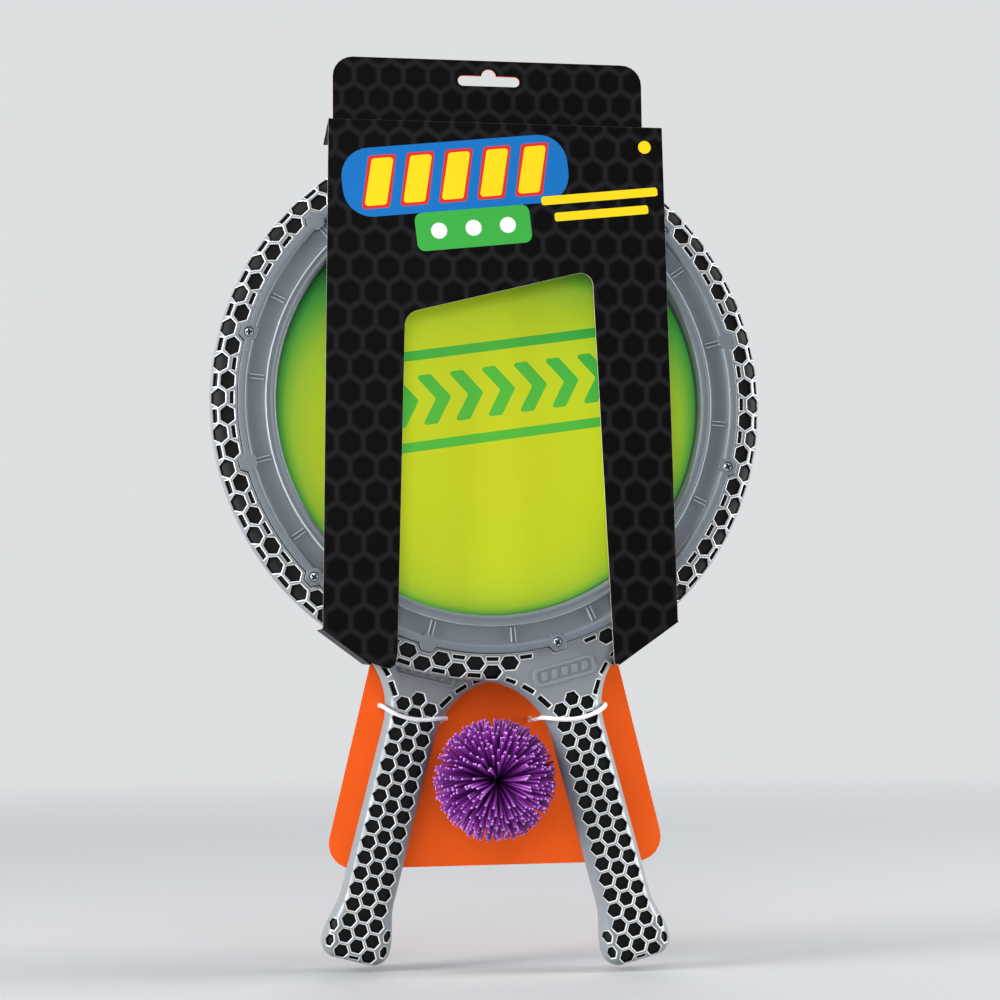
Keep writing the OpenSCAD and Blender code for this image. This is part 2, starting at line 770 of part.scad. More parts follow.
module front_bat_face_shell() { at_front_bat() face_shell(); }
module front_bat_rear_shell() { at_front_bat() rear() face_shell(); }
module front_bat_rim_core() { at_front_bat() rim_core(); }
module front_bat_grip_core() { at_front_bat() grip_core(); }
module front_bat_face_ring() { at_front_bat() ring(0); }
module front_bat_rear_ring() { at_front_bat() rear() ring(360 / lug_count); }
module front_bat_sheet() { at_front_bat() bat_sheet(); }
module front_bat_face_screws() { at_front_bat() screws(0); }
module front_bat_rear_screws() { at_front_bat() rear() screws(360 / lug_count); }
module front_bat_tie() { at_front_bat() tie(front_mid); }
module back_bat_face_shell() { at_back_bat() face_shell(); }
module back_bat_rear_shell() { at_back_bat() rear() face_shell(); }
module back_bat_rim_core() { at_back_bat() rim_core(); }
module back_bat_grip_core() { at_back_bat() grip_core(); }
module back_bat_face_ring() { at_back_bat() ring(0); }
module back_bat_rear_ring() { at_back_bat() rear() ring(360 / lug_count); }
module back_bat_sheet() { at_back_bat() bat_sheet(); }
module back_bat_face_screws() { at_back_bat() screws(0); }
module back_bat_rear_screws() { at_back_bat() rear() screws(360 / lug_count); }
module back_bat_tie() { at_back_bat() tie(back_mid); }

backing_card();
header_card();
tie_locks();
sleeve();
front_bat_face_shell();
front_bat_rear_shell();
front_bat_rim_core();
front_bat_grip_core();
front_bat_face_ring();
front_bat_rear_ring();
front_bat_sheet();
front_bat_face_screws();
front_bat_rear_screws();
front_bat_tie();
back_bat_face_shell();
back_bat_rear_shell();
back_bat_rim_core();
back_bat_grip_core();
back_bat_face_ring();
back_bat_rear_ring();
back_bat_sheet();
back_bat_face_screws();
back_bat_rear_screws();
back_bat_tie();
ball_strands();
ball_tie();
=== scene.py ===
"""Looks of a paddle ball game: two honeycomb bats, a ball of rubber strands and their hanging card."""

import logging
import math
import random
from collections.abc import Callable, Iterable, Sequence
from dataclasses import dataclass, field, replace
from enum import Enum

import bpy
import numpy as np
from mathutils import Matrix, Vector
from mathutils.geometry import delaunay_2d_cdt


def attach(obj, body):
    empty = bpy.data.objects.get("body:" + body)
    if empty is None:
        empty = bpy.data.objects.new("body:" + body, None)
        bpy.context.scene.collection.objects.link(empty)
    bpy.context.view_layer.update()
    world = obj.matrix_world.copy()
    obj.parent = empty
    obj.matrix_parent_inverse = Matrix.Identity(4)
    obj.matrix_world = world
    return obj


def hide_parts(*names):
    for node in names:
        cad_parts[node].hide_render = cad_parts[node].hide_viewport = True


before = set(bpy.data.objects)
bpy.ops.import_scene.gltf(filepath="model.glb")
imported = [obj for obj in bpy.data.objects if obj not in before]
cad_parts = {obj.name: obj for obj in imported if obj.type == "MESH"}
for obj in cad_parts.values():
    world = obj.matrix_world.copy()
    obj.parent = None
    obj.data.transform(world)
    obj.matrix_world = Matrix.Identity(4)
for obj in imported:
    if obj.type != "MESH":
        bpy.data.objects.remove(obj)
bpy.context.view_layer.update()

log = logging.getLogger("paddle_ball")
MM = 0.001
# Deeper than any piece, so that a wall or a back ends at its floor
DEEP = 100.0
# An edge lower than this, in millimetres, has no wall: the mirrored half meets it
LOWEST_WALL = 0.3
# Pieces of a full turn of the clamp ring
RING_STEPS = 240
# Screws and lugs of one clamp ring
SCREWS = 6
LUGS = 12

Point = tuple[float, float]
Line = list[Point]
Field = Callable[[np.ndarray], np.ndarray]


class Ink(Enum):
    """Printing inks of the card, the sleeve and the sheets, as sRGB hex."""

    ORANGE = "FF6420"
    BLACK = "0C0C0E"
    BLUE = "1C6FB8"
    YELLOW = "F4D21F"
    RED = "D8322B"
    GREEN = "3FA845"
    PALE = "EDEFEA"


def linear(hex_colour: str) -> tuple[float, float, float, float]:
    """Turns an sRGB hex colour into the linear colour that a shader takes.

    Args:
        hex_colour: six hex digits, such as "F2601F".

    Returns:
        Linear red, green and blue, and an alpha of 1.
    """
    parts = [int(hex_colour[i:i + 2], 16) / 255 for i in (0, 2, 4)]
    red, green, blue = (c / 12.92 if c <= 0.04045 else ((c + 0.055) / 1.055) ** 2.4 for c in parts)
    return red, green, blue, 1.0


def add_node(tree: bpy.types.NodeTree, kind: str, settings: dict | None = None,
             links: dict | None = None) -> bpy.types.Node:
    """Adds one shader node with its settings and what feeds it.

    Args:
        tree: the material's or world's node tree.
        kind: the node's class, such as "ShaderNodeMath".
        settings: values by property name, socket name or socket number.
        links: output sockets by the name or number of the socket they feed.

    Returns:
        The new node.
    """
    node = tree.nodes.new(kind)
    for key, value in (settings or {}).items():
        if isinstance(key, int) or (not hasattr(node, key) and key in node.inputs):
            node.inputs[key].default_value = value
        else:
            setattr(node, key, value)
    for key, source in (links or {}).items():
        tree.links.new(source, node.inputs[key])
    return node


def calc(tree: bpy.types.NodeTree, operation: str, *values: object, clamp: bool = False,
         vector: bool = False) -> bpy.types.NodeSocket:
    """Adds one step of arithmetic to a shader.

    Args:
        tree: the material's or world's node tree.
        operation: what is worked out, such as "ADD".
        values: in order, the sockets that feed the step and its plain values.
        clamp: whether the result is held between 0 and 1.
        vector: whether the step takes vectors.

    Returns:
        The result as a socket.
    """
    fed = {i: value for i, value in enumerate(values) if isinstance(value, bpy.types.NodeSocket)}
    settings = {"operation": operation, **{i: value for i, value in enumerate(values) if i not in fed}}
    if clamp:
        settings["use_clamp"] = True
    node = add_node(tree, "ShaderNodeVectorMath" if vector else "ShaderNodeMath", settings, fed)
    return node.outputs["Value" if not vector or operation in ("LENGTH", "DOT_PRODUCT") else "Vector"]


def bare_tree(owner: bpy.types.Material | bpy.types.World) -> bpy.types.NodeTree:
    """Gives the node tree of a material or world with nothing in it."""
    owner.use_nodes = True
    owner.node_tree.nodes.clear()
    return owner.node_tree


def put(name: str, data: bpy.types.ID) -> bpy.types.Object:
    """Puts a new object with its data into the scene."""
    thing = bpy.data.objects.new(name, data)
    bpy.context.scene.collection.objects.link(thing)
    return thing


def show(thing: bpy.types.Object, body: str, slot: str, *nodes: str) -> bpy.types.Object:
    """Lets a piece ride its body and stand for parts of the model.

    Args:
        thing: the piece.
        body: the body that it moves with.
        slot: the record's material slot; not used.
        nodes: the parts that it stands for.

    Returns:
        The piece.
    """
    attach(thing, body)
    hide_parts(*nodes)
    log.info("%s: %d faces", thing.name, len(thing.data.polygons))
    return thing


def ramp(tree: bpy.types.NodeTree, share: bpy.types.NodeSocket,
         stops: Sequence[tuple[float, str]]) -> bpy.types.NodeSocket:
    """Runs through colours as a share goes from 0 to 1.

    Args:
        tree: the material's node tree.
        share: what picks the colour.
        stops: shares in order, each with its sRGB hex colour.

    Returns:
        The colour as a socket.
    """
    node = add_node(tree, "ShaderNodeValToRGB", links={0: share})
    band = node.color_ramp.elements
    band[0].position, band[0].color = stops[0][0], linear(stops[0][1])
    band[1].position, band[1].color = stops[-1][0], linear(stops[-1][1])
    for at, colour in stops[1:-1]:
        band.new(at).color = linear(colour)
    return node.outputs[0]


@dataclass(frozen=True)
class Finish:
    """A material's name and the plain values of its shader."""

    name: str
    base: str
    roughness: float
    metallic: float = 0.0
    specular: float = 0.5
    grain_mm: float = 1.0
    grain_depth: float = 0.02
    mottle: float = 0.04

    def shader(self) -> tuple[bpy.types.Material, bpy.types.NodeTree, bpy.types.Node]:
        """Makes the material with its plain shader.

        Returns:
            The material, its node tree and its shader.
        """
        material = bpy.data.materials.new(self.name)
        tree = bare_tree(material)
        shader = add_node(tree, "ShaderNodeBsdfPrincipled", {
            "Base Color": linear(self.base), "Roughness": self.roughness,
            "Metallic": self.metallic, "Specular IOR Level": self.specular})
        add_node(tree, "ShaderNodeOutputMaterial", links={"Surface": shader.outputs[0]})
        return material, tree, shader

    def grain(self, tree: bpy.types.NodeTree, shader: bpy.types.Node,
              place: bpy.types.NodeSocket) -> None:
        """Adds fine grain to the surface and a little mottling to its gloss.

        Args:
            tree: the material's node tree.
            shader: the shader to dress.
            place: the coordinates to work in.
        """
        noise = add_node(tree, "ShaderNodeTexNoise", {
            "Scale": 1 / (self.grain_mm * MM), "Detail": 3.0, "Roughness": 0.6}, {"Vector": place})
        bump = add_node(tree, "ShaderNodeBump", {
            "Strength": 0.35, "Distance": self.grain_depth * MM}, {"Height": noise.outputs[0]})
        tree.links.new(bump.outputs[0], shader.inputs["Normal"])
        broad = add_node(tree, "ShaderNodeTexNoise", {
            "Scale": 0.04 / (self.grain_mm * MM), "Detail": 4.0}, {"Vector": place})
        gloss = add_node(tree, "ShaderNodeMapRange", {
            "To Min": max(0.02, self.roughness - self.mottle), "To Max": self.roughness + self.mottle},
            {"Value": broad.outputs[0]})
        tree.links.new(gloss.outputs[0], shader.inputs["Roughness"])

    def make(self) -> bpy.types.Material:
        """Makes the finished material, or finds it if it is made already."""
        found = bpy.data.materials.get(self.name)
        if found:
            return found
        material, tree, shader = self.shader()
        place = add_node(tree, "ShaderNodeTexCoord").outputs["Object"]
        self.grain(tree, shader, place)
        self.dress(tree, shader, place)
        return material

    def dress(self, tree: bpy.types.NodeTree, shader: bpy.types.Node,
              place: bpy.types.NodeSocket) -> None:
        """Adds what only this finish has; a plain finish adds a slight drift of its colour."""
        drift = add_node(tree, "ShaderNodeTexNoise", {"Scale": 14.0, "Detail": 3.0}, {"Vector": place})
        tint = add_node(tree, "ShaderNodeMix", {
            "data_type": "RGBA", "blend_type": "MULTIPLY", 0: 1.0, 6: linear(self.base)})
        shade = add_node(tree, "ShaderNodeMapRange", {"To Min": 0.9, "To Max": 1.1},
                         {"Value": drift.outputs[0]})
        tree.links.new(shade.outputs[0], tint.inputs[7])
        tree.links.new(tint.outputs[2], shader.inputs["Base Color"])


@dataclass(frozen=True)
class PrintedCard(Finish):
    """Offset printed paperboard: flat even ink, sealed so dull that it hardly shines."""

    specular: float = 0.04
    grain_mm: float = 0.5
    grain_depth: float = 0.015


@dataclass(frozen=True)
class HexPrint(PrintedCard):
    """Card printed with a drawing of staggered cells: charcoal webs that fade into black hollows."""

    stops: tuple[tuple[float, str], ...] = (
        (0.0, "080809"), (0.58, "050506"), (0.74, "0A0A0B"), (0.86, "19191B"), (1.0, "1E1E21"))
    pitch_mm: float = 13.4
    row_stretch: float = 1.11

    def hex_distance(self, tree: bpy.types.NodeTree, place: bpy.types.NodeSocket) -> bpy.types.NodeSocket:
        """Gives the distance from the middle of the nearest cell, in millimetres across flats.

        Args:
            tree: the material's node tree.
            place: coordinates in metres, X across and Z up.

        Returns:
            The distance as a socket: half a pitch on the line between two cells.
        """
        split = add_node(tree, "ShaderNodeSeparateXYZ", links={0: place}).outputs
        rows = calc(tree, "DIVIDE", calc(tree, "ADD", split[2], split[1]), self.row_stretch)
        flat = add_node(tree, "ShaderNodeCombineXYZ", links={0: rows, 1: split[0]}).outputs[0]
        wide, tall = self.pitch_mm * MM * math.sqrt(3), self.pitch_mm * MM
        halves = []
        for shift in (0.0, 0.5):
            moved = calc(tree, "ADD", flat, (shift * wide, shift * tall, 0), vector=True)
            near = calc(tree, "WRAP", moved, (wide / 2, tall / 2, 1), (-wide / 2, -tall / 2, -1), vector=True)
            size = calc(tree, "ABSOLUTE", near, vector=True)
            slant = calc(tree, "DOT_PRODUCT", size, (math.sqrt(3) / 2, 0.5, 0), vector=True)
            parts = add_node(tree, "ShaderNodeSeparateXYZ", links={0: size})
            halves.append(calc(tree, "MAXIMUM", slant, parts.outputs[1]))
        return calc(tree, "MULTIPLY", calc(tree, "MINIMUM", *halves), 1 / MM)

    def dress(self, tree: bpy.types.NodeTree, shader: bpy.types.Node,
              place: bpy.types.NodeSocket) -> None:
        """Prints the drawing of cells."""
        share = calc(tree, "DIVIDE", self.hex_distance(tree, place), self.pitch_mm / 2)
        tree.links.new(ramp(tree, share, self.stops), shader.inputs["Base Color"])


@dataclass(frozen=True)
class OutwardFinish(Finish):
    """A material whose colour changes from its middle outward."""

    stops: tuple[tuple[float, str], ...] = ()
    reach_mm: float = 1.0
    middle_mm: tuple[float, float, float] = (0.0, 0.0, 0.0)

    def outward(self, tree: bpy.types.NodeTree,
                place: bpy.types.NodeSocket) -> tuple[bpy.types.NodeSocket, bpy.types.NodeSocket]:
        """Measures how far out a place is.

        Args:
            tree: the material's node tree.
            place: the coordinates, in metres.

        Returns:
            The way from the middle, in metres, and its length as a share of the reach.
        """
        away = calc(tree, "SUBTRACT", place, [c * MM for c in self.middle_mm], vector=True)
        return away, calc(tree, "DIVIDE", calc(tree, "LENGTH", away, vector=True), self.reach_mm * MM)


@dataclass(frozen=True)
class StretchedSheet(OutwardFinish):
    """Knitted elastic sheet, screen printed: lime low in the middle, deep green at the rim."""

    stops: tuple[tuple[float, str], ...] = (
        (0.0, "CFD71A"), (0.55, "CBDA20"), (0.8, "C0DA28"), (0.91, "ACD434"), (0.955, "82C63C"),
        (0.985, "54B642"), (1.0, "2E9E44"))
    specular: float = 0.2
    reach_mm: float = 110.4
    downward: float = 0.8
    thread_mm: float = 0.9

    def dress(self, tree: bpy.types.NodeTree, shader: bpy.types.Node,
              place: bpy.types.NodeSocket) -> None:
        """Prints the rings of colour, their middle moved down, and weaves the surface."""
        away, near = self.outward(tree, place)
        height = add_node(tree, "ShaderNodeSeparateXYZ", links={0: away}).outputs[2]
        rise = calc(tree, "MULTIPLY", height, self.downward / (self.reach_mm * MM))
        left = calc(tree, "SUBTRACT", 1.0, calc(tree, "MULTIPLY", near, near))
        share = calc(tree, "MULTIPLY_ADD", rise, left, near)
        tree.links.new(ramp(tree, share, self.stops), shader.inputs["Base Color"])
        waves = []
        for turn in (0.0, math.pi / 2):
            turned_place = add_node(tree, "ShaderNodeMapping", {"Rotation": (0, turn, 0)}, {"Vector": place})
            waves.append(add_node(tree, "ShaderNodeTexWave", {
                "Scale": 0.314 / (self.thread_mm * MM), "Distortion": 0.6, "Detail": 1.0},
                {"Vector": turned_place.outputs[0]}).outputs[1])
        bump = add_node(tree, "ShaderNodeBump", {"Strength": 0.25, "Distance": 0.05 * MM}, {
            "Height": calc(tree, "MAXIMUM", *waves)})
        tree.links.new(bump.outputs[0], shader.inputs["Normal"])


@dataclass(frozen=True)
class StrandRubber(OutwardFinish):
    """Cast soft rubber: darker toward the heart as painted shade among the strands, thin and paler at the
    tips.
    """

    stops: tuple[tuple[float, str], ...] = (
        (0.2, "24082E"), (0.5, "5C1C70"), (0.8, "822C92"), (1.0, "963AA8"))
    reach_mm: float = 32.2
    middle_mm: tuple[float, float, float] = (-5.313, -33.1, -377.036)
    glow: float = 0.15
    glow_reach: tuple[float, float, float] = (0.002, 0.001, 0.003)

    def dress(self, tree: bpy.types.NodeTree, shader: bpy.types.Node,
              place: bpy.types.NodeSocket) -> None:
        """Paints shade on each strand, darkest at the heart, paler toward its tip."""
        _, share = self.outward(tree, place)
        tree.links.new(ramp(tree, share, self.stops), shader.inputs["Base Color"])
        shader.inputs["Subsurface Weight"].default_value = self.glow
        shader.inputs["Subsurface Radius"].default_value = self.glow_reach


# Injection-moulded ABS with a silver-grey colour: even, with a soft broad sheen
SHELL_ABS = Finish("abs_silver_grey_moulded", "7E8489", 0.3, grain_mm=0.8, grain_depth=0.012)
# The rounded rims of the cells, the same ABS painted pale as a highlight: crisp rims to the cells
EDGE_HIGHLIGHT_ABS = Finish("abs_cell_edge_painted_highlight", "DEE1E1", 0.25, grain_mm=0.8, grain_depth=0.006)
# The walls inside the cells, dull from the mould: charcoal, painted shade of the deep cells, almost matt
WALL_SHADE_ABS = Finish("abs_cell_wall_painted_shade", "232527", 0.5, grain_mm=0.6, grain_depth=0.02)
# Blue-grey ABS of the clamp rings, moulded smooth: a little glossier than the shells
RING_ABS = Finish("abs_blue_grey_moulded", "656D74", 0.32, grain_mm=0.9, grain_depth=0.010)
# The same ABS on the ring's side walls and in the screws' holes, darkened as painted shade
RING_WALL_SHADE = Finish("abs_blue_grey_side_wall", "2F3337", 0.5, grain_mm=0.9, grain_depth=0.010)
# The same ABS on the ribs and at the channel's inner edge, painted pale: a painted highlight line
RING_HIGHLIGHT = Finish("abs_blue_grey_painted_highlight", "A9B1B8", 0.24, grain_mm=0.9, grain_depth=0.006)
# Closed-cell foam: black, matt, with fine pores
CORE_FOAM = Finish("eva_foam_black", "0B0B0C", 0.7, specular=0.22, grain_mm=0.7, grain_depth=0.06)
# Zinc-plated steel of the screws: bright with a blue cast
SCREW_ZINC = Finish("steel_zinc_plated", "B4C0CC", 0.24, metallic=1.0, grain_mm=0.4, grain_depth=0.006)
# The same zinc in the cross, dull and dark: painted shade of the recess
SCREW_CROSS_SHADE = Finish("steel_zinc_cross_painted_shade", "23262B", 0.5, metallic=0.6, grain_mm=0.4, grain_depth=0.006)
# Nylon of the ties, extruded and stiff: white, slightly waxy
TIE_NYLON = Finish("nylon_white_extruded", "F2F2F5", 0.42, grain_mm=0.5, grain_depth=0.01)
# Knitted elastic, printed lime: an even colour with a fine weave that breaks up the sheen
SHEET_KNIT = StretchedSheet("elastic_knit_printed", "CFE11F", 0.5)
# Cast rubber of the strands: violet, darker toward the heart as painted shade, a soft gloss and a little
# light through the thin ends
STRAND_RUBBER = StrandRubber("rubber_violet_cast", "7B2FA0", 0.34)
# The cut tip of a strand: the same rubber, paler
STRAND_TIP = Finish("rubber_violet_cut_tip", "C184D2", 0.45, grain_mm=0.4, grain_depth=0.01)
# Printed board of the hanging card: one flat warm orange, dull
CARD_ORANGE = PrintedCard("paperboard_orange_printed", Ink.ORANGE.value, 0.5)
# The same sheet under the darker green ink of its printed ribbon
SHEET_MOTIF = StretchedSheet("elastic_knit_printed_green", "4CBB47", 0.5, stops=(
    (0.0, "58BE3C"), (0.35, "52BC3E"), (0.72, "3FB146"), (0.88, "2BA04A"), (0.97, "1F9147"),
    (1.0, "1A8744")))
# Bare board at a cut edge: pale grey-brown pulp
CUT_BOARD = Finish("paperboard_cut_edge", "B5A893", 0.9, grain_mm=0.3, grain_depth=0.05)
# The unprinted inside of the board: warm light grey
CARD_INSIDE = Finish("paperboard_unprinted_inside", "C9C4BA", 0.85, grain_mm=0.6, grain_depth=0.04)
# Printed board of the header and the sleeve: near black, with cells that show only close by
HEADER_PRINT = HexPrint("paperboard_cell_print_header", Ink.BLACK.value, 0.45)
SLEEVE_PRINT = HexPrint("paperboard_cell_print", Ink.BLACK.value, 0.42)


def unit(v: Sequence[float]) -> np.ndarray:
    """Gives the vector of length 1 along v."""
    v = np.asarray(v, float)
    return v / np.linalg.norm(v)


def facing(degrees: float) -> np.ndarray:
    """Gives the direction at an angle from the grip's axis, as X and distance along the grip."""
    a = math.radians(degrees)
    return np.array([math.sin(a), math.cos(a)])


def to_the_right(a: Point, b: Point) -> np.ndarray:
    """Gives the direction to the right of the line from a to b."""
    along = unit(np.array(b) - a)
    return np.array([along[1], -along[0]])


def grown(line: Sequence[Point], share: float) -> Line:
    """Grows a loop about its middle, by a hair if its own points are to count as inside."""
    ring = np.array(line)
    middle = ring.mean(0)
    return [tuple(p) for p in middle + (ring - middle) * share]


def open_edges(corners: np.ndarray) -> list[tuple[int, int]]:
    """Gives the edges that only one triangle has, in order."""
    sides = {(int(f[i]), int(f[(i + 1) % 3])) for f in corners for i in range(3)}
    return [(a, b) for a, b in sorted(sides) if (b, a) not in sides]


def rounded(points: Sequence[Point], radii: Sequence[float], steps: int = 6) -> Line:
    """Rounds the corners of a closed outline.

    Args:
        points: the corners in order.
        radii: one radius for each corner; 0 keeps it sharp.
        steps: pieces of each arc.

    Returns:
        The outline's points.
    """
    out: Line = []
    count = len(points)
    for i, (b, r) in enumerate(zip(points, radii)):
        if r <= 0:
            out.append(tuple(b))
            continue
        a, c = np.array(points[i - 1], float), np.array(points[(i + 1) % count], float)
        b = np.array(b, float)
        u, w = unit(a - b), unit(c - b)
        half = math.acos(max(-1.0, min(1.0, float(u @ w)))) / 2
        middle = b + unit(u + w) * r / math.sin(half)
        start, end = b + u * r / math.tan(half) - middle, b + w * r / math.tan(half) - middle
        first = math.atan2(start[1], start[0])
        swing = math.atan2(end[1], end[0]) - first
        swing = (swing + math.pi) % (2 * math.pi) - math.pi
        for k in range(steps + 1):
            angle = first + swing * k / steps
            out.append((middle[0] + r * math.cos(angle), middle[1] + r * math.sin(angle)))
    return out


@dataclass
class Mesh:
    """Points in millimetres and faces of one piece, each face with the number of its finish."""

    points: list[tuple[float, float, float]] = field(default_factory=list)
    faces: list[tuple[int, ...]] = field(default_factory=list)
    kinds: list[int] = field(default_factory=list)

    def add(self, points: Iterable[Sequence[float]], faces: Iterable[Sequence[int]],
            kind: int = 0) -> None:
        """Adds points, and faces that count from the first of them.

        Args:
            points: places in millimetres.
            faces: corners by number.
            kind: the number of the faces' finish.
        """
        base = len(self.points)
        self.points.extend(tuple(float(c) for c in p) for p in points)
        for f in faces:
            self.faces.append(tuple(base + i for i in f))
            self.kinds.append(kind)

    def merge(self, other: "Mesh", matrix: Matrix | None = None, kind: int | None = None) -> None:
        """Adds a copy of another mesh.

        Args:
            other: the mesh to copy.
            matrix: where it goes, in millimetres.
            kind: one finish for all its faces, or None to keep theirs.
        """
        moved = [tuple(matrix @ Vector(p)) if matrix else p for p in other.points]
        base = len(self.points)
        self.points.extend(moved)
        flip = matrix is not None and matrix.determinant() < 0
        for f, k in zip(other.faces, other.kinds):
            corners = tuple(base + i for i in f)
            self.faces.append(corners[::-1] if flip else corners)
            self.kinds.append(k if kind is None else kind)

    def mirrored(self) -> "Mesh":
        """Gives the mirror image in the mid-plane."""
        out = Mesh()
        out.merge(self, Matrix.Scale(-1, 4, Vector((0, 1, 0))))
        return out

    def lathe(self, profile: Sequence[Point], steps: int, closed: bool = True) -> None:
        """Turns a profile about the Y axis.

        Args:
            profile: radius and height in front of the mid-plane, seen with the front up.
            steps: pieces of the full turn.
            closed: whether the profile's last point joins its first.
        """
        count = len(profile)
        points = []
        for i in range(steps):
            a = 2 * math.pi * i / steps
            points += [(r * math.cos(a), -h, r * math.sin(a)) for r, h in profile]
        spans = count if closed else count - 1
        faces = []
        for i in range(steps):
            j = (i + 1) % steps
            for k in range(spans):
                m = (k + 1) % count
                faces.append((i * count + k, j * count + k, j * count + m, i * count + m))
        self.add(points, faces)

    def tube(self, path: Sequence[Sequence[float]], radii: Sequence[float], sides: int) -> None:
        """Sweeps a round section along a path and closes both ends.

        Args:
            path: places in millimetres.
            radii: the section's radius at each place.
            sides: points round the section.
        """
        places = [Vector(p) for p in path]
        last = len(places) - 1
        across: Vector | None = None
        points = []
        for i, (place, radius) in enumerate(zip(places, radii)):
            ahead = (places[min(i + 1, last)] - places[max(i - 1, 0)]).normalized()
            across = ahead.orthogonal() if across is None else across - ahead * across.dot(ahead)
            across.normalize()
            up = ahead.cross(across)
            for k in range(sides):
                a = 2 * math.pi * k / sides
                points.append(place + (across * math.cos(a) + up * math.sin(a)) * radius)
        faces = []
        for i in range(last):
            low, high = i * sides, (i + 1) * sides
            faces += [(low + k, low + (k + 1) % sides, high + (k + 1) % sides, high + k)
                      for k in range(sides)]
        faces.append(tuple(range(sides))[::-1])
        faces.append(tuple(last * sides + k for k in range(sides)))
        self.add(points, faces)

    def object(self, name: str, finishes: Sequence[Finish], place: Matrix, smooth: float = 40.0,
               weighted: bool = True) -> bpy.types.Object:
        """Makes the Blender object.

        Args:
            name: the piece's name.
            finishes: finishes in the order of their numbers.
            place: where the piece goes, in metres.
            smooth: the greatest angle between faces that still shade as one surface, in degrees.
            weighted: whether large faces lead the shading.

        Returns:
            The object, in the scene.
        """
        mesh = bpy.data.meshes.new(name)
        mesh.from_pydata([place @ (Vector(p) * MM) for p in self.points], [], self.faces)
        mesh.polygons.foreach_set("material_index", self.kinds)
        mesh.polygons.foreach_set("use_smooth", [True] * len(self.faces))
        mesh.set_sharp_from_angle(angle=math.radians(smooth))
        mesh.update()
        for finish in finishes:
            mesh.materials.append(finish.make())
        thing = put(name, mesh)
        if weighted:
            modifier = thing.modifiers.new("even shading", "WEIGHTED_NORMAL")
            modifier.keep_sharp = True
        return thing


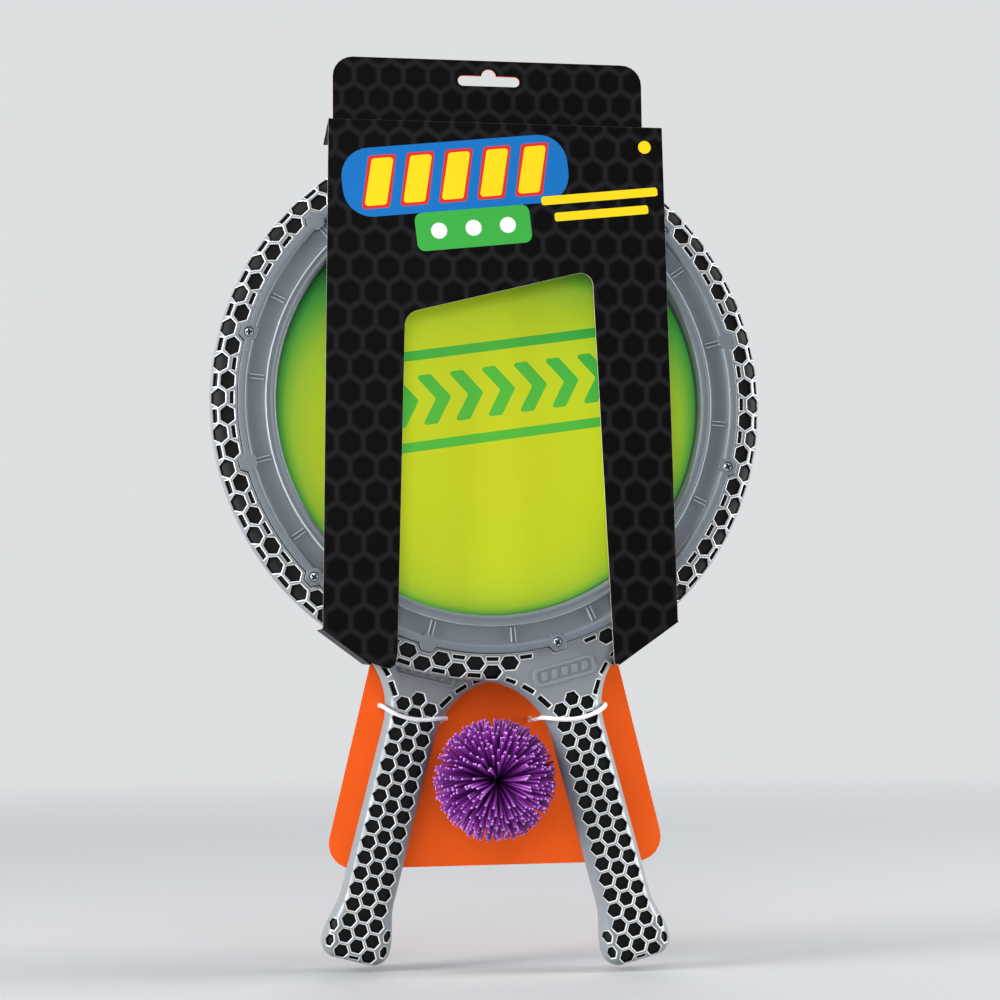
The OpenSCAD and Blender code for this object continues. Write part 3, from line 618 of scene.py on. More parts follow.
@dataclass
class Relief:
    """A plate cut from a drawing, raised by a height, with rounded edges to its holes and a back.

    The drawing lies in X and Z, in millimetres. A point is on the plate where an odd number of cuts
    goes round it. Creases are lines that the surface has edges along.
    """

    cuts: list[Line]
    height: Field
    thickness: float
    edge: Callable[[np.ndarray], list[tuple[float, float]]]
    creases: list[Line] = field(default_factory=list)
    floor: float = 0.0
    prints: list[tuple[int, Line]] = field(default_factory=list)
    edge_kind: int = 0
    wall_kind: int = 0

    def triangles(self) -> tuple[np.ndarray, np.ndarray]:
        """Fills the drawing with triangles.

        Returns:
            The points, and the corners of the triangles that are on the plate.
        """
        points, edges = [], []
        for loop in [*self.cuts, *self.creases, *(line for _, line in self.prints)]:
            base, count = len(points), len(loop)
            points += [Vector(p) for p in loop]
            edges += [(base + i, base + (i + 1) % count) for i in range(count)]
        found, _, faces, *_ = delaunay_2d_cdt(points, edges, [], 0, 1e-5, False)
        places = np.array([tuple(p) for p in found])
        corners = np.array([f for f in faces if len(f) == 3])
        middles = places[corners].mean(axis=1)
        keep = np.zeros(len(corners), bool)
        for loop in self.cuts:
            keep ^= inside(loop, middles)
        return places, corners[keep]

    def inks(self, places: np.ndarray, corners: np.ndarray) -> np.ndarray:
        """Gives each triangle's finish: that of the last print round its middle, or else the first."""
        kinds = np.zeros(len(corners), int)
        middles = places[corners].mean(axis=1)
        for kind, line in self.prints:
            kinds[inside(line, middles)] = kind
        return kinds

    def mesh(self) -> Mesh:
        """Builds the front, the rounded edges, the walls and the back."""
        places, corners = self.triangles()
        used = np.unique(corners)
        renumber = -np.ones(len(places), int)
        renumber[used] = np.arange(len(used))
        places, corners = places[used], renumber[corners]
        heights = self.height(places)
        out = Mesh()
        out.add([(p[0], -h, p[1]) for p, h in zip(places, heights)], [])
        for face, kind in zip(corners, self.inks(places, corners)):
            out.faces.append(tuple(int(i) for i in face))
            out.kinds.append(int(kind))
        following = dict(open_edges(corners))
        back: dict[int, int] = {}
        for start in sorted(following):
            if start not in following:
                continue
            loop, at = [start], following.pop(start)
            while at != start:
                loop.append(at)
                at = following.pop(at)
            self.wall(out, loop, places, heights, back)
        self.close(out, places, heights, corners, back)
        return out

    def wall(self, out: Mesh, loop: list[int], places: np.ndarray, heights: np.ndarray,
             back: dict[int, int]) -> None:
        """Rounds one edge of the surface and runs its wall down to the back.

        Args:
            out: the mesh to add to.
            loop: the edge's points by number, with the surface on their left.
            places: all points of the drawing.
            heights: the surface's height at each.
            back: filled with the number of the lowest point under each edge point.
        """
        count = len(loop)
        ring = places[loop]
        if heights[loop].max() < LOWEST_WALL:
            back.update({i: i for i in loop})
            return
        ahead = np.roll(ring, -1, axis=0) - ring
        ahead /= np.maximum(np.linalg.norm(ahead, axis=1, keepdims=True), 1e-9)
        normal = np.stack([ahead[:, 1], -ahead[:, 0]], axis=1)
        before = np.roll(normal, 1, axis=0)
        away = (normal + before) / np.maximum(1 + (normal * before).sum(1, keepdims=True), 0.5)
        base = len(out.points)
        rows = self.edge(ring)
        for inward, depth in rows:
            for p, i in zip(ring + inward * away, loop):
                out.points.append((p[0], -max(heights[i] - depth, self.floor), p[1]))
        for step in range(len(rows)):
            kind = self.edge_kind if step < len(rows) - 1 else self.wall_kind
            upper = loop if step == 0 else [base + (step - 1) * count + k for k in range(count)]
            lower = [base + step * count + k for k in range(count)]
            for k in range(count):
                m = (k + 1) % count
                out.faces.append((upper[m], upper[k], lower[k], lower[m]))
                out.kinds.append(kind)
        back.update({i: base + (len(rows) - 1) * count + k for k, i in enumerate(loop)})

    def close(self, out: Mesh, places: np.ndarray, heights: np.ndarray, corners: np.ndarray,
              back: dict[int, int]) -> None:
        """Covers the back, below the front by the plate's thickness."""
        for i, (p, h) in enumerate(zip(places, heights)):
            if i not in back:
                back[i] = len(out.points)
                out.points.append((p[0], -max(h - self.thickness, self.floor), p[1]))
        for face in corners:
            a, b, c = (back[int(i)] for i in face)
            if len({a, b, c}) == 3 and (a, b, c) != tuple(face):
                out.faces.append((a, c, b))
                out.kinds.append(self.wall_kind)


def inside(loop: Sequence[Point], points: np.ndarray) -> np.ndarray:
    """Tells which points lie inside a closed loop.

    Args:
        loop: the loop's corners.
        points: the points to test, one a row.

    Returns:
        True for each point inside.
    """
    ring = np.asarray(loop, float)
    result = np.zeros(len(points), bool)
    near = np.nonzero(((points >= ring.min(0)) & (points <= ring.max(0))).all(axis=1))[0]
    if len(near) == 0:
        return result
    x, z = points[near].T
    hit = np.zeros(len(near), bool)
    for a, b in zip(ring, np.roll(ring, -1, axis=0)):
        if a[1] != b[1]:
            hit ^= ((a[1] > z) != (b[1] > z)) & (x < (b[0] - a[0]) * (z - a[1]) / (b[1] - a[1]) + a[0])
    result[near] = hit
    return result


def nearest(path: np.ndarray, points: np.ndarray) -> tuple[np.ndarray, np.ndarray]:
    """Measures how far points are from a closed path.

    Args:
        path: the path's corners.
        points: the points to measure, one a row.

    Returns:
        The distances, and where the nearest places are, as corner number and share of the next piece.
    """
    ahead = np.roll(path, -1, axis=0) - path
    square = np.maximum((ahead ** 2).sum(1), 1e-12)
    far, place = np.empty(len(points)), np.empty(len(points))
    for start in range(0, len(points), 1000):
        some = points[start:start + 1000]
        away = some[:, None, :] - path[None]
        share = np.clip((away * ahead).sum(2) / square, 0, 1)
        gap = np.linalg.norm(away - share[..., None] * ahead, axis=2)
        best = gap.argmin(1)
        rows = np.arange(len(some))
        far[start:start + 1000] = gap[rows, best]
        place[start:start + 1000] = best + share[rows, best]
    return far, place


def polar(angle: float, radius: float) -> Point:
    """Gives a place round the head, at an angle from the grip."""
    a = math.radians(angle)
    return radius * math.sin(a), -radius * math.cos(a)


def turned(loop: Sequence[Point], angle: float, place: Point = (0.0, 0.0)) -> Line:
    """Turns a small drawing about its own middle and moves it.

    Args:
        loop: the drawing's corners.
        angle: degrees, against the clock.
        place: where its middle goes.

    Returns:
        The moved corners.
    """
    c, s = math.cos(math.radians(angle)), math.sin(math.radians(angle))
    return [(place[0] + x * c - z * s, place[1] + x * s + z * c) for x, z in loop]


def circle(radius: float, steps: int, middle: Point = (0.0, 0.0)) -> Line:
    """Draws a circle against the clock."""
    return [(middle[0] + radius * math.cos(2 * math.pi * i / steps),
             middle[1] + radius * math.sin(2 * math.pi * i / steps)) for i in range(steps)]


def bar(width: float, height: float, corner: float, steps: int = 4) -> Line:
    """Draws a bar with rounded corners round the origin."""
    w, h = width / 2, height / 2
    return rounded([(-w, -h), (w, -h), (w, h), (-w, h)], [corner] * 4, steps)


def taper(low: float, high: float, height: float, corner: float) -> Line:
    """Draws a bar whose lower and upper sides differ in length."""
    h = height / 2
    return rounded([(-low / 2, -h), (low / 2, -h), (high / 2, h), (-high / 2, h)], [corner] * 4, 3)


@dataclass(frozen=True)
class BatSizes:
    """Sizes of a bat, in millimetres: X across, -Y the front, the grip runs down from the head's middle."""

    head_r: float = 143.7
    half_t: float = 9.5
    rim_roll: float = 8.3
    grip_roll: float = 6.6
    shell_wall: float = 2.0
    gap: float = 0.3
    ring_r: float = 129.5
    ring_half_t: float = 12.5
    channel_out_r: float = 124.6
    channel_in_r: float = 116.4
    ring_in_r: float = 110.9
    channel_depth: float = 2.6
    lip_drop: float = 0.9
    sheet_t: float = 1.2
    sheet_r: float = 125.8
    lug_r: float = 128.4
    lug_af: float = 9.0
    outer_row_r: float = 139.1
    inner_row_r: float = 134.8
    grip_half_w: float = 14.2
    fillet_r: float = 40.0
    swell: float = 4.0
    swell_start: float = 262.5
    swell_end: float = 287.5
    end_corner: float = 9.0
    cell_bevel: float = 0.52
    seam: float = 0.12
    tie_side: float = 16.78
    tie_front: float = 10.95
    tie_at: float = 166.1

    @property
    def fillet(self) -> Point:
        """Gives the middle of the right fillet of the neck: to the side, and down from the head's middle."""
        x = self.grip_half_w + self.fillet_r
        return x, math.sqrt((self.head_r + self.fillet_r) ** 2 - x ** 2)


@dataclass
class Outline:
    """A bat's outline, with the way each of its points faces and how far its edge rolls in."""

    sizes: BatSizes
    rim_steps: int = 170
    fillet_steps: int = 24
    swell_steps: int = 16
    corner_steps: int = 12
    points: np.ndarray = field(init=False)
    normals: np.ndarray = field(init=False)
    rolls: np.ndarray = field(init=False)

    def __post_init__(self) -> None:
        """Draws the right half from the top of the head to the grip's end, and mirrors it."""
        s = self.sizes
        stations: list[tuple[float, float, float, float, float]] = []

        def add(place: np.ndarray, normal: np.ndarray, roll: float) -> None:
            """Adds one station."""
            stations.append((place[0], place[1], normal[0], normal[1], roll))

        fillet_x, fillet_s = s.fillet
        flare = math.degrees(math.asin(fillet_x / (s.head_r + s.fillet_r)))
        for i in range(self.rim_steps):
            a = 180 + (flare - 180) * i / self.rim_steps
            add(s.head_r * facing(a), facing(a), s.rim_roll)
        for i in range(self.fillet_steps + 1):
            a = flare + (90 - flare) * i / self.fillet_steps
            add(np.array([fillet_x, fillet_s]) - s.fillet_r * facing(a), facing(a),
                s.rim_roll + (s.grip_roll - s.rim_roll) * i / self.fillet_steps)
        run = s.swell_end - s.swell_start
        add(np.array([s.grip_half_w, (fillet_s + s.swell_start) / 2]), np.array([1.0, 0.0]), s.grip_roll)
        for i in range(self.swell_steps):
            share = i / self.swell_steps
            slope = -s.swell * math.pi / 2 * math.sin(math.pi * share) / run
            add(np.array([s.grip_half_w + s.swell * (1 - math.cos(math.pi * share)) / 2,
                          s.swell_start + run * share]), unit([1.0, slope]), s.grip_roll)
        for i in range(self.corner_steps + 1):
            a = 90 - 90 * i / self.corner_steps
            add(np.array([s.grip_half_w + s.swell - s.end_corner, s.swell_end]) + s.end_corner * facing(a),
                facing(a), s.grip_roll)
        half = np.array(stations)
        left = half[::-1][:-1] * np.array([-1, 1, -1, 1, 1])
        whole = np.vstack([half, left])[::-1]
        self.points = whole[:, :2] * [1, -1]
        self.normals = whole[:, 2:4] * [1, -1]
        self.rolls = whole[:, 4]

    def drawn_in(self, distance: np.ndarray | float) -> Line:
        """Gives the outline moved in by a distance."""
        moved = self.points - self.normals * np.reshape(distance, (-1, 1) if np.ndim(distance) else ())
        return [tuple(p) for p in moved]

    def rolled(self, share: float, inset: float = 0.0) -> Line:
        """Gives the line where a rolled edge has come in by a share of its width."""
        return self.drawn_in(inset + (self.rolls - inset) * share)

    def height(self, points: np.ndarray, inset: float = 0.0) -> np.ndarray:
        """Gives the height of the rolled surface above the mid-plane.

        Args:
            points: places in X and Z.
            inset: how far the surface lies under the outer one.

        Returns:
            One height for each point.
        """
        far, place = nearest(self.points, points)
        rolls = np.append(self.rolls, self.rolls[0])
        roll = np.interp(place, np.arange(len(rolls)), rolls) - inset
        share = np.clip(1 - (far - inset) / roll, 0, 1)
        return np.maximum((self.sizes.half_t - inset) * np.sqrt(1 - share ** 2), self.sizes.seam)


# Shares of a rolled edge's width where the surface has an edge of the mesh
ROLL_STEPS = [1 - math.cos(math.radians(a)) for a in (16, 30, 44, 58, 72, 90)]


@dataclass
class CombShell:
    """One half of the honeycomb body: head, neck and grip in one moulding."""

    sizes: BatSizes
    outline: Outline
    pitch: float = 7.5
    cell_w: float = 9.94
    cell_h: float = 6.9
    grip_cells: int = 17
    grip_first: float = 158.1
    grip_pitch: float = 8.1
    grip_column: float = 7.2
    grip_cell_w: float = 7.7
    grip_cell_h: float = 6.6
    outer_row_gap: float = 12.0
    inner_row_gap: float = 8.0
    outer_slots_gap: float = 16.0
    outer_slot: tuple[float, float, float] = (7.4, 6.2, 2.1)
    outer_slot_out: float = 11.4
    inner_slot: tuple[float, float, float] = (5.8, 6.8, 1.9)
    inner_slot_out: float = 2.95
    end_slot: tuple[float, float, float] = (5.0, 5.0, 1.6)
    end_slot_drop: float = 6.0
    side_cell: tuple[float, float, float] = (4.0, 5.6, 0.5)
    side_cell_x: float = 14.1
    badge_w: float = 33.0
    badge_h: float = 9.6
    badge_s: float = 143.6
    badge_rise: float = 0.62
    badge_wall: float = 1.5
    badge_slope: float = 0.3
    badge_corner: float = 3.4
    badge_bars: int = 5
    badge_bar_pitch: float = 5.4
    badge_bar_half_w: float = 1.35
    badge_bar_lean: float = 0.8
    badge_bar_gap: float = 1.2
    neck_slots: tuple[tuple[float, float, float, float, float], ...] = (
        (27.9, 141.25, 5.4, 1.8, 35.0), (20.33, 147.6, 6.6, 2.1, 45.0), (14.11, 155.97, 7.6, 2.4, 57.0))

    def cell(self, width: float, height: float, corner: float = 0.7) -> Line:
        """Draws a six-sided cell with rounded corners, larger all round by the bevel."""
        grow = self.sizes.cell_bevel
        w, h = width / 2 + grow * 1.15, height / 2 + grow
        return rounded([(w, 0), (w / 2, h), (-w / 2, h), (-w, 0), (-w / 2, -h), (w / 2, -h)], [corner] * 6, 3)

    def slot(self, low: float, high: float, height: float) -> Line:
        """Draws a short slot, larger all round by the bevel."""
        grow = 2 * self.sizes.cell_bevel
        return taper(low + grow, high + grow, height + grow, 0.55)

    def head_cells(self) -> list[Line]:
        """Draws the two rows of cells round the head and the short slots beside them."""
        s, cells = self.sizes, []
        full = self.cell(self.cell_w, self.cell_h)
        outer, inner = self.slot(*self.outer_slot), self.slot(*self.inner_slot)
        row = round(180 / self.pitch)
        per_lug = round(360 / LUGS / self.pitch)
        for k in range(-row, row):
            whole, half = k * self.pitch, (k + 0.5) * self.pitch
            if abs(whole) > self.outer_row_gap:
                cells.append(turned(full, whole, polar(whole, s.outer_row_r)))
            if abs(half) > self.inner_row_gap:
                cells.append(turned(full, half, polar(half, s.inner_row_r)))
            if abs(half) > self.outer_slots_gap:
                cells.append(turned(outer, half, polar(half, s.ring_r + self.outer_slot_out)))
            if k % per_lug:
                cells.append(turned(inner, whole, polar(whole, s.ring_r + self.inner_slot_out)))
        return cells

    def grip_drawing(self) -> list[Line]:
        """Draws the cells of the grip, its swelling and the slots of the neck."""
        cells = []
        full = self.cell(self.grip_cell_w, self.grip_cell_h)
        last = self.grip_first + (self.grip_cells - 1) * self.grip_pitch
        for i in range(self.grip_cells):
            down = self.grip_first + i * self.grip_pitch
            cells.append(turned(full, 0, (0, -down)))
            for side in (-1, 1):
                cells.append(turned(full, 0, (side * self.grip_column, -down - self.grip_pitch / 2)))
        cells.append(turned(self.slot(*self.end_slot), 0, (0, -last - self.end_slot_drop)))
        for side in (-1, 1):
            for up in (0, 1):
                place = (side * self.side_cell_x, -last + up * self.grip_pitch)
                cells.append(turned(self.cell(*self.side_cell), 0, place))
            for x, down, length, width, slope in self.neck_slots:
                cells.append(turned(self.slot(length, length, width), side * slope, (side * x, -down)))
        return cells

    def badge(self) -> tuple[list[Line], list[Line]]:
        """Draws the plain raised badge of the neck: a rounded frame round five slanted bars.

        Returns:
            The upper edges of what is raised, the frame's two first, and the feet of their slopes.
        """
        w, h, corner, down = self.badge_w, self.badge_h, self.badge_corner, self.badge_s
        wall, slope, lean = self.badge_wall, self.badge_slope, self.badge_bar_lean
        tops, feet = [], []
        for inset, grow in ((0.0, slope), (wall, -slope)):
            tops.append(bar(w - 2 * inset, h - 2 * inset, corner - inset))
            feet.append(bar(w - 2 * inset + 2 * grow, h - 2 * inset + 2 * grow, corner - inset + grow))
        for k in range(self.badge_bars):
            for lines, grow in ((tops, 0.0), (feet, slope)):
                x = (k - (self.badge_bars - 1) / 2) * self.badge_bar_pitch
                half = self.badge_bar_half_w + grow
                z = h / 2 - wall - self.badge_bar_gap + grow
                lines.append(rounded([(x - lean - half, -z), (x - lean + half, -z), (x + lean + half, z),
                                      (x + lean - half, z)], [0.5] * 4, 2))
        return [turned(line, 0, (0, -down)) for line in tops], [turned(line, 0, (0, -down)) for line in feet]

    def height(self, points: np.ndarray) -> np.ndarray:
        """Gives the height of the shell's face with the raised badge."""
        level = self.outline.height(points)
        (frame_out, frame_in, *bars), _ = self.badge()
        on = inside(grown(frame_out, 1.002), points) & ~inside(grown(frame_in, 0.998), points)
        for line in bars:
            on |= inside(grown(line, 1.005), points)
        level[on] += self.badge_rise
        return level

    def ring_gap(self, gap: float) -> Line:
        """Draws the inner edge that goes round the ring and its lugs.

        Args:
            gap: the distance kept from the ring and the lugs.
        """
        s = self.sizes
        r, reach = s.ring_r + gap, s.lug_af / 2 + gap
        top = reach / math.sqrt(3)
        rise = r - s.lug_r
        foot = top + (reach - rise) / math.sqrt(3)
        foot = top + (reach - (rise - foot ** 2 / 2 / r)) / math.sqrt(3)
        base = math.degrees(math.asin(foot / r))
        pitch, arc_steps = 360 / LUGS, 12
        points, radii = [], []
        for k in range(LUGS):
            middle = k * pitch
            corners = [polar(middle - base, r), *turned([(-top, -reach), (top, -reach)], middle,
                       polar(middle, s.lug_r)), polar(middle + base, r)]
            points += corners
            radii += [0.5, 0.6, 0.6, 0.5]
            for i in range(1, arc_steps):
                points.append(polar(middle + base + (pitch - 2 * base) * i / arc_steps, r))
                radii.append(0.0)
        return rounded(points, radii, 3)

    def mesh(self) -> Mesh:
        """Builds the front half."""
        s = self.sizes
        bevel = s.cell_bevel
        round_edge = [(bevel * math.sin(math.radians(a)), bevel * (1 - math.cos(math.radians(a))))
                      for a in (30, 60, 90)]
        tops, feet = self.badge()
        cuts = [self.outline.drawn_in(0.0), self.ring_gap(s.gap + bevel), *self.head_cells(),
                *self.grip_drawing()]
        # The cells' rounded rims (finish 1) are painted pale as a highlight.
        relief = Relief(
            cuts=cuts, creases=[*(self.outline.rolled(share) for share in ROLL_STEPS), *tops, *feet],
            height=self.height, thickness=s.shell_wall,
            # The cells' walls (finish 2) are painted charcoal as shade of the deep cells.
            edge=lambda ring: [*round_edge, (bevel + 0.06, s.shell_wall + 0.1)], edge_kind=1, wall_kind=2)
        return relief.mesh()


@dataclass
class FoamCore:
    """The black foam inside a bat: a ring in the rim and a bar in the grip."""

    sizes: BatSizes
    outline: Outline
    shell: CombShell
    inset: float = 1.1
    deep: float = 2.25
    ring_clear: float = 0.25
    neck_lap: float = 6.7
    rim_steps: int = 200

    def rim(self) -> Mesh:
        """Builds the ring of foam under the head's shells."""
        s = self.sizes
        roll = s.rim_roll - self.inset
        r = s.head_r - self.inset

        def height(points: np.ndarray) -> np.ndarray:
            """Gives the height of the rolled outer edge."""
            share = np.clip(1 - (r - np.linalg.norm(points, axis=1)) / roll, 0, 1)
            return np.maximum((s.half_t - self.deep) * np.sqrt(1 - share ** 2), 0.0)

        relief = Relief(
            cuts=[circle(r, self.rim_steps), self.shell.ring_gap(s.gap + self.ring_clear)],
            creases=[circle(r - roll * share, self.rim_steps) for share in ROLL_STEPS],
            height=height, thickness=DEEP, edge=lambda ring: [(0.0, DEEP)])
        return self.both_halves(relief)

    def grip(self) -> Mesh:
        """Builds the bar of foam in the neck and the grip."""
        s = self.sizes
        start = s.head_r - self.neck_lap
        flatter = (s.half_t - self.deep) / (s.half_t - self.inset)
        body = [p for p in self.outline.drawn_in(self.inset) if p[1] < -start]
        relief = Relief(
            cuts=[body],
            creases=[[p for p in self.outline.rolled(share, self.inset) if p[1] < -start - 0.5]
                     for share in ROLL_STEPS],
            height=lambda points: self.outline.height(points, self.inset) * flatter - s.seam,
            thickness=DEEP, edge=lambda ring: [(0.0, DEEP)])
        return self.both_halves(relief)

    @staticmethod
    def both_halves(relief: Relief) -> Mesh:
        """Builds a relief and its mirror image in one mesh."""
        whole = relief.mesh()
        whole.merge(whole.mirrored())
        return whole


@dataclass
class ClampRing:
    """The ring that clamps the sheet: flange, channel with double ribs, inner lip and twelve lugs."""

    sizes: BatSizes
    shell: CombShell
    rib_pairs: int = 18
    rib_w: float = 0.7
    rib_spread: float = 2.0
    rib_rise: float = 1.4
    boss_r: float = 3.3
    boss_rise: float = 0.12
    hole_r: float = 2.55
    edge_round: float = 0.4
    wall: float = 1.8
    lip_deep: float = 1.9
    line_out: float = 1.2
    line_in: float = 0.45

    def profile(self) -> list[Point]:
        """Gives the height of the ring's face at each radius, from the inside out."""
        s = self.sizes
        top, lip = s.ring_half_t, s.ring_half_t - s.lip_drop
        floor = top - s.channel_depth
        inner, outer = s.channel_in_r, s.channel_out_r
        start, end = s.ring_in_r, s.ring_r
        lip_round = [(start - 0.6, lip - self.lip_deep), (start - 0.5, lip - 1.1), (start - 0.1, lip - 0.45),
                     (start + 0.5, lip - 0.1), (start + 1.3, lip)]
        bead = [(inner - 3.2, lip - 0.25), (inner - 2.3, lip - 0.1), (inner - 1.75, lip + 0.12),
                (inner - self.line_out, lip + 0.12), (inner - 0.75, lip - 0.25)]
        channel = [(inner - self.line_in, floor + 0.3), (inner, floor), (inner + 1.0, floor - 0.05),
                   ((inner + outer) / 2, floor - 0.12), (outer - 1.0, floor - 0.02), (outer, floor + 0.25)]
        flange = [(outer + 0.5, floor + 1.3), (outer + 0.9, top - 0.45), (outer + 1.5, top - 0.06),
                  (outer + 2.2, top), (end - 0.95, top), (end - 0.5, top - 0.06)]
        return [*lip_round, *bead, *channel, *flange]

    def lug(self, grow: float) -> Line:
        """Draws a lug with rounded corners."""
        corner = (self.sizes.lug_af / 2 + grow) / math.cos(math.radians(30))
        return rounded([polar(30 + 60 * i, corner) for i in range(6)], [0.5] * 6, 3)

    def edge_line(self) -> Line:
        """Draws the outer edge round the ring and its lugs, inside the rounding."""
        return self.shell.ring_gap(-self.edge_round)

    def rib(self, pair: int, side: int, grow: float) -> Line:
        """Draws one rib of a pair."""
        s = self.sizes
        middle = (s.channel_in_r + s.channel_out_r) / 2
        length = s.channel_out_r - s.channel_in_r - 0.5 + 2 * grow
        angle = (pair + 0.5) * 360 / self.rib_pairs
        upright = bar(self.rib_w + 2 * grow, length, 0.25)
        return turned([(x + side * self.rib_spread / 2, z) for x, z in upright], angle, polar(angle, middle))

    def mesh(self, first: float) -> Mesh:
        """Builds the front ring.

        Args:
            first: angle of the first lug with a screw, in degrees from the grip.
        """
        s = self.sizes
        profile = self.profile()
        radii, levels = np.array([p[0] for p in profile]), np.array([p[1] for p in profile])
        screws = [polar(first + 360 / SCREWS * k, s.lug_r) for k in range(SCREWS)]
        lugs, lug_feet = ([turned(self.lug(grow), a, polar(a, s.lug_r)) for a in range(0, 360, 360 // LUGS)]
                          for grow in (-0.25, -0.05))
        bosses, boss_feet = ([circle(self.boss_r + grow, 24, c) for c in screws] for grow in (0.0, 0.3))
        ribs, rib_tops = ([self.rib(k, side, grow) for k in range(self.rib_pairs) for side in (-1, 1)]
                          for grow in (0.0, -0.2))

        def height(points: np.ndarray) -> np.ndarray:
            """Gives the height of the ring's face with its ribs, lugs and bosses."""
            level = np.interp(np.linalg.norm(points, axis=1), radii, levels)
            top = s.ring_half_t
            for lines, rise in ((rib_tops, top - s.channel_depth + self.rib_rise), (lugs, top),
                                (bosses, top + self.boss_rise)):
                for line in lines:
                    level[inside(grown(line, 1.002), points)] = rise
            return level

        def edge(ring: np.ndarray) -> list[tuple[float, float]]:
            """Gives the way each edge runs down: the outer one, the inner wall or a screw's recess."""
            middle, size = np.linalg.norm(ring.mean(0)), np.ptp(ring[:, 0])
            if middle < 5 and size < 2 * s.ring_in_r + 2:
                to_sheet = s.ring_half_t - s.lip_drop - self.lip_deep - s.sheet_t / 2 - 0.05
                return [(0.02, 1.0), (0.3, 4.0), (0.55, to_sheet)]
            if middle < 5:
                return [(0.2, 0.06), (0.34, 0.18), (0.4, 0.4), (0.4, DEEP)]
            return [(0.06, 0.02), (0.13, 0.12), (0.16, 1.6)]

        rings = [circle(r, RING_STEPS) for r in radii]
        holes = [circle(self.hole_r + 0.16, 24, c) for c in screws]
        # The band at the channel's inner edge and the ribs (finish 2) are painted pale as a highlight.
        relief = Relief(
            cuts=[self.edge_line(), rings[0], *holes],
            creases=[*rings[1:], *ribs, *rib_tops, *lugs, *lug_feet, *bosses, *boss_feet],
            prints=[(2, circle(s.channel_in_r - self.line_in, RING_STEPS)),
                    (0, circle(s.channel_in_r - self.line_out, RING_STEPS)), *((2, line) for line in ribs)],
            # The walls, the screws' holes and the inner wall down to the sheet (finish 1) are painted dark as
            # shade.
            height=height, thickness=self.wall, edge=edge, wall_kind=1)
        return relief.mesh()


@dataclass
class Screws:
    """Six cross-head screws on the circle of the lugs."""

    sizes: BatSizes
    head_r: float = 2.4
    head_h: float = 1.2
    shank_r: float = 1.1
    recess: float = 0.3
    reach: float = 7.5
    dome: float = 0.35
    cross_deep: float = 0.8

    def one(self) -> Mesh:
        """Builds one screw with its top at the height of the ring's face."""
        s = self.sizes
        top = s.ring_half_t - self.recess
        wide, narrow = bar(3.4, 1.15, 0.3, 3), bar(1.15, 3.4, 0.3, 3)
        wide_floor, narrow_floor = bar(2.4, 0.6, 0.15, 2), bar(0.6, 2.4, 0.15, 2)

        def height(points: np.ndarray) -> np.ndarray:
            """Gives the height of the domed head and its cross."""
            level = top - self.dome * (np.linalg.norm(points, axis=1) / self.head_r) ** 2
            level[inside(grown(wide_floor, 1.02), points)] = top - self.cross_deep
            level[inside(grown(narrow_floor, 1.02), points)] = top - self.cross_deep
            return level

        # The cross is printed with finish 1, dark zinc as painted shade of the recess.
        relief = Relief(
            cuts=[circle(self.head_r - 0.15, 32)],
            creases=[wide, narrow, wide_floor, narrow_floor, circle(1.0, 16), circle(1.7, 24)],
            height=height, thickness=self.head_h, prints=[(1, wide), (1, narrow)],
            edge=lambda ring: [(0.1, 0.08), (0.15, 0.25), (0.15, self.head_h - 0.35)],
            floor=top - self.head_h)
        screw = relief.mesh()
        under = top - self.head_h
        screw.lathe([(0.02, under), (self.shank_r, under), (self.shank_r, -self.reach + 1),
                     (0.3, -self.reach), (0.02, -self.reach)], 16)
        return screw

    def mesh(self, first: float) -> Mesh:
        """Builds the six screws, the first at an angle from the grip."""
        out, one = Mesh(), self.one()
        for k in range(SCREWS):
            x, z = polar(first + 360 / SCREWS * k, self.sizes.lug_r)
            turn = Matrix.Rotation(math.radians(45 + 37 * k), 4, "Y")
            out.merge(one, Matrix.Translation((x, 0, z)) @ turn)
        return out


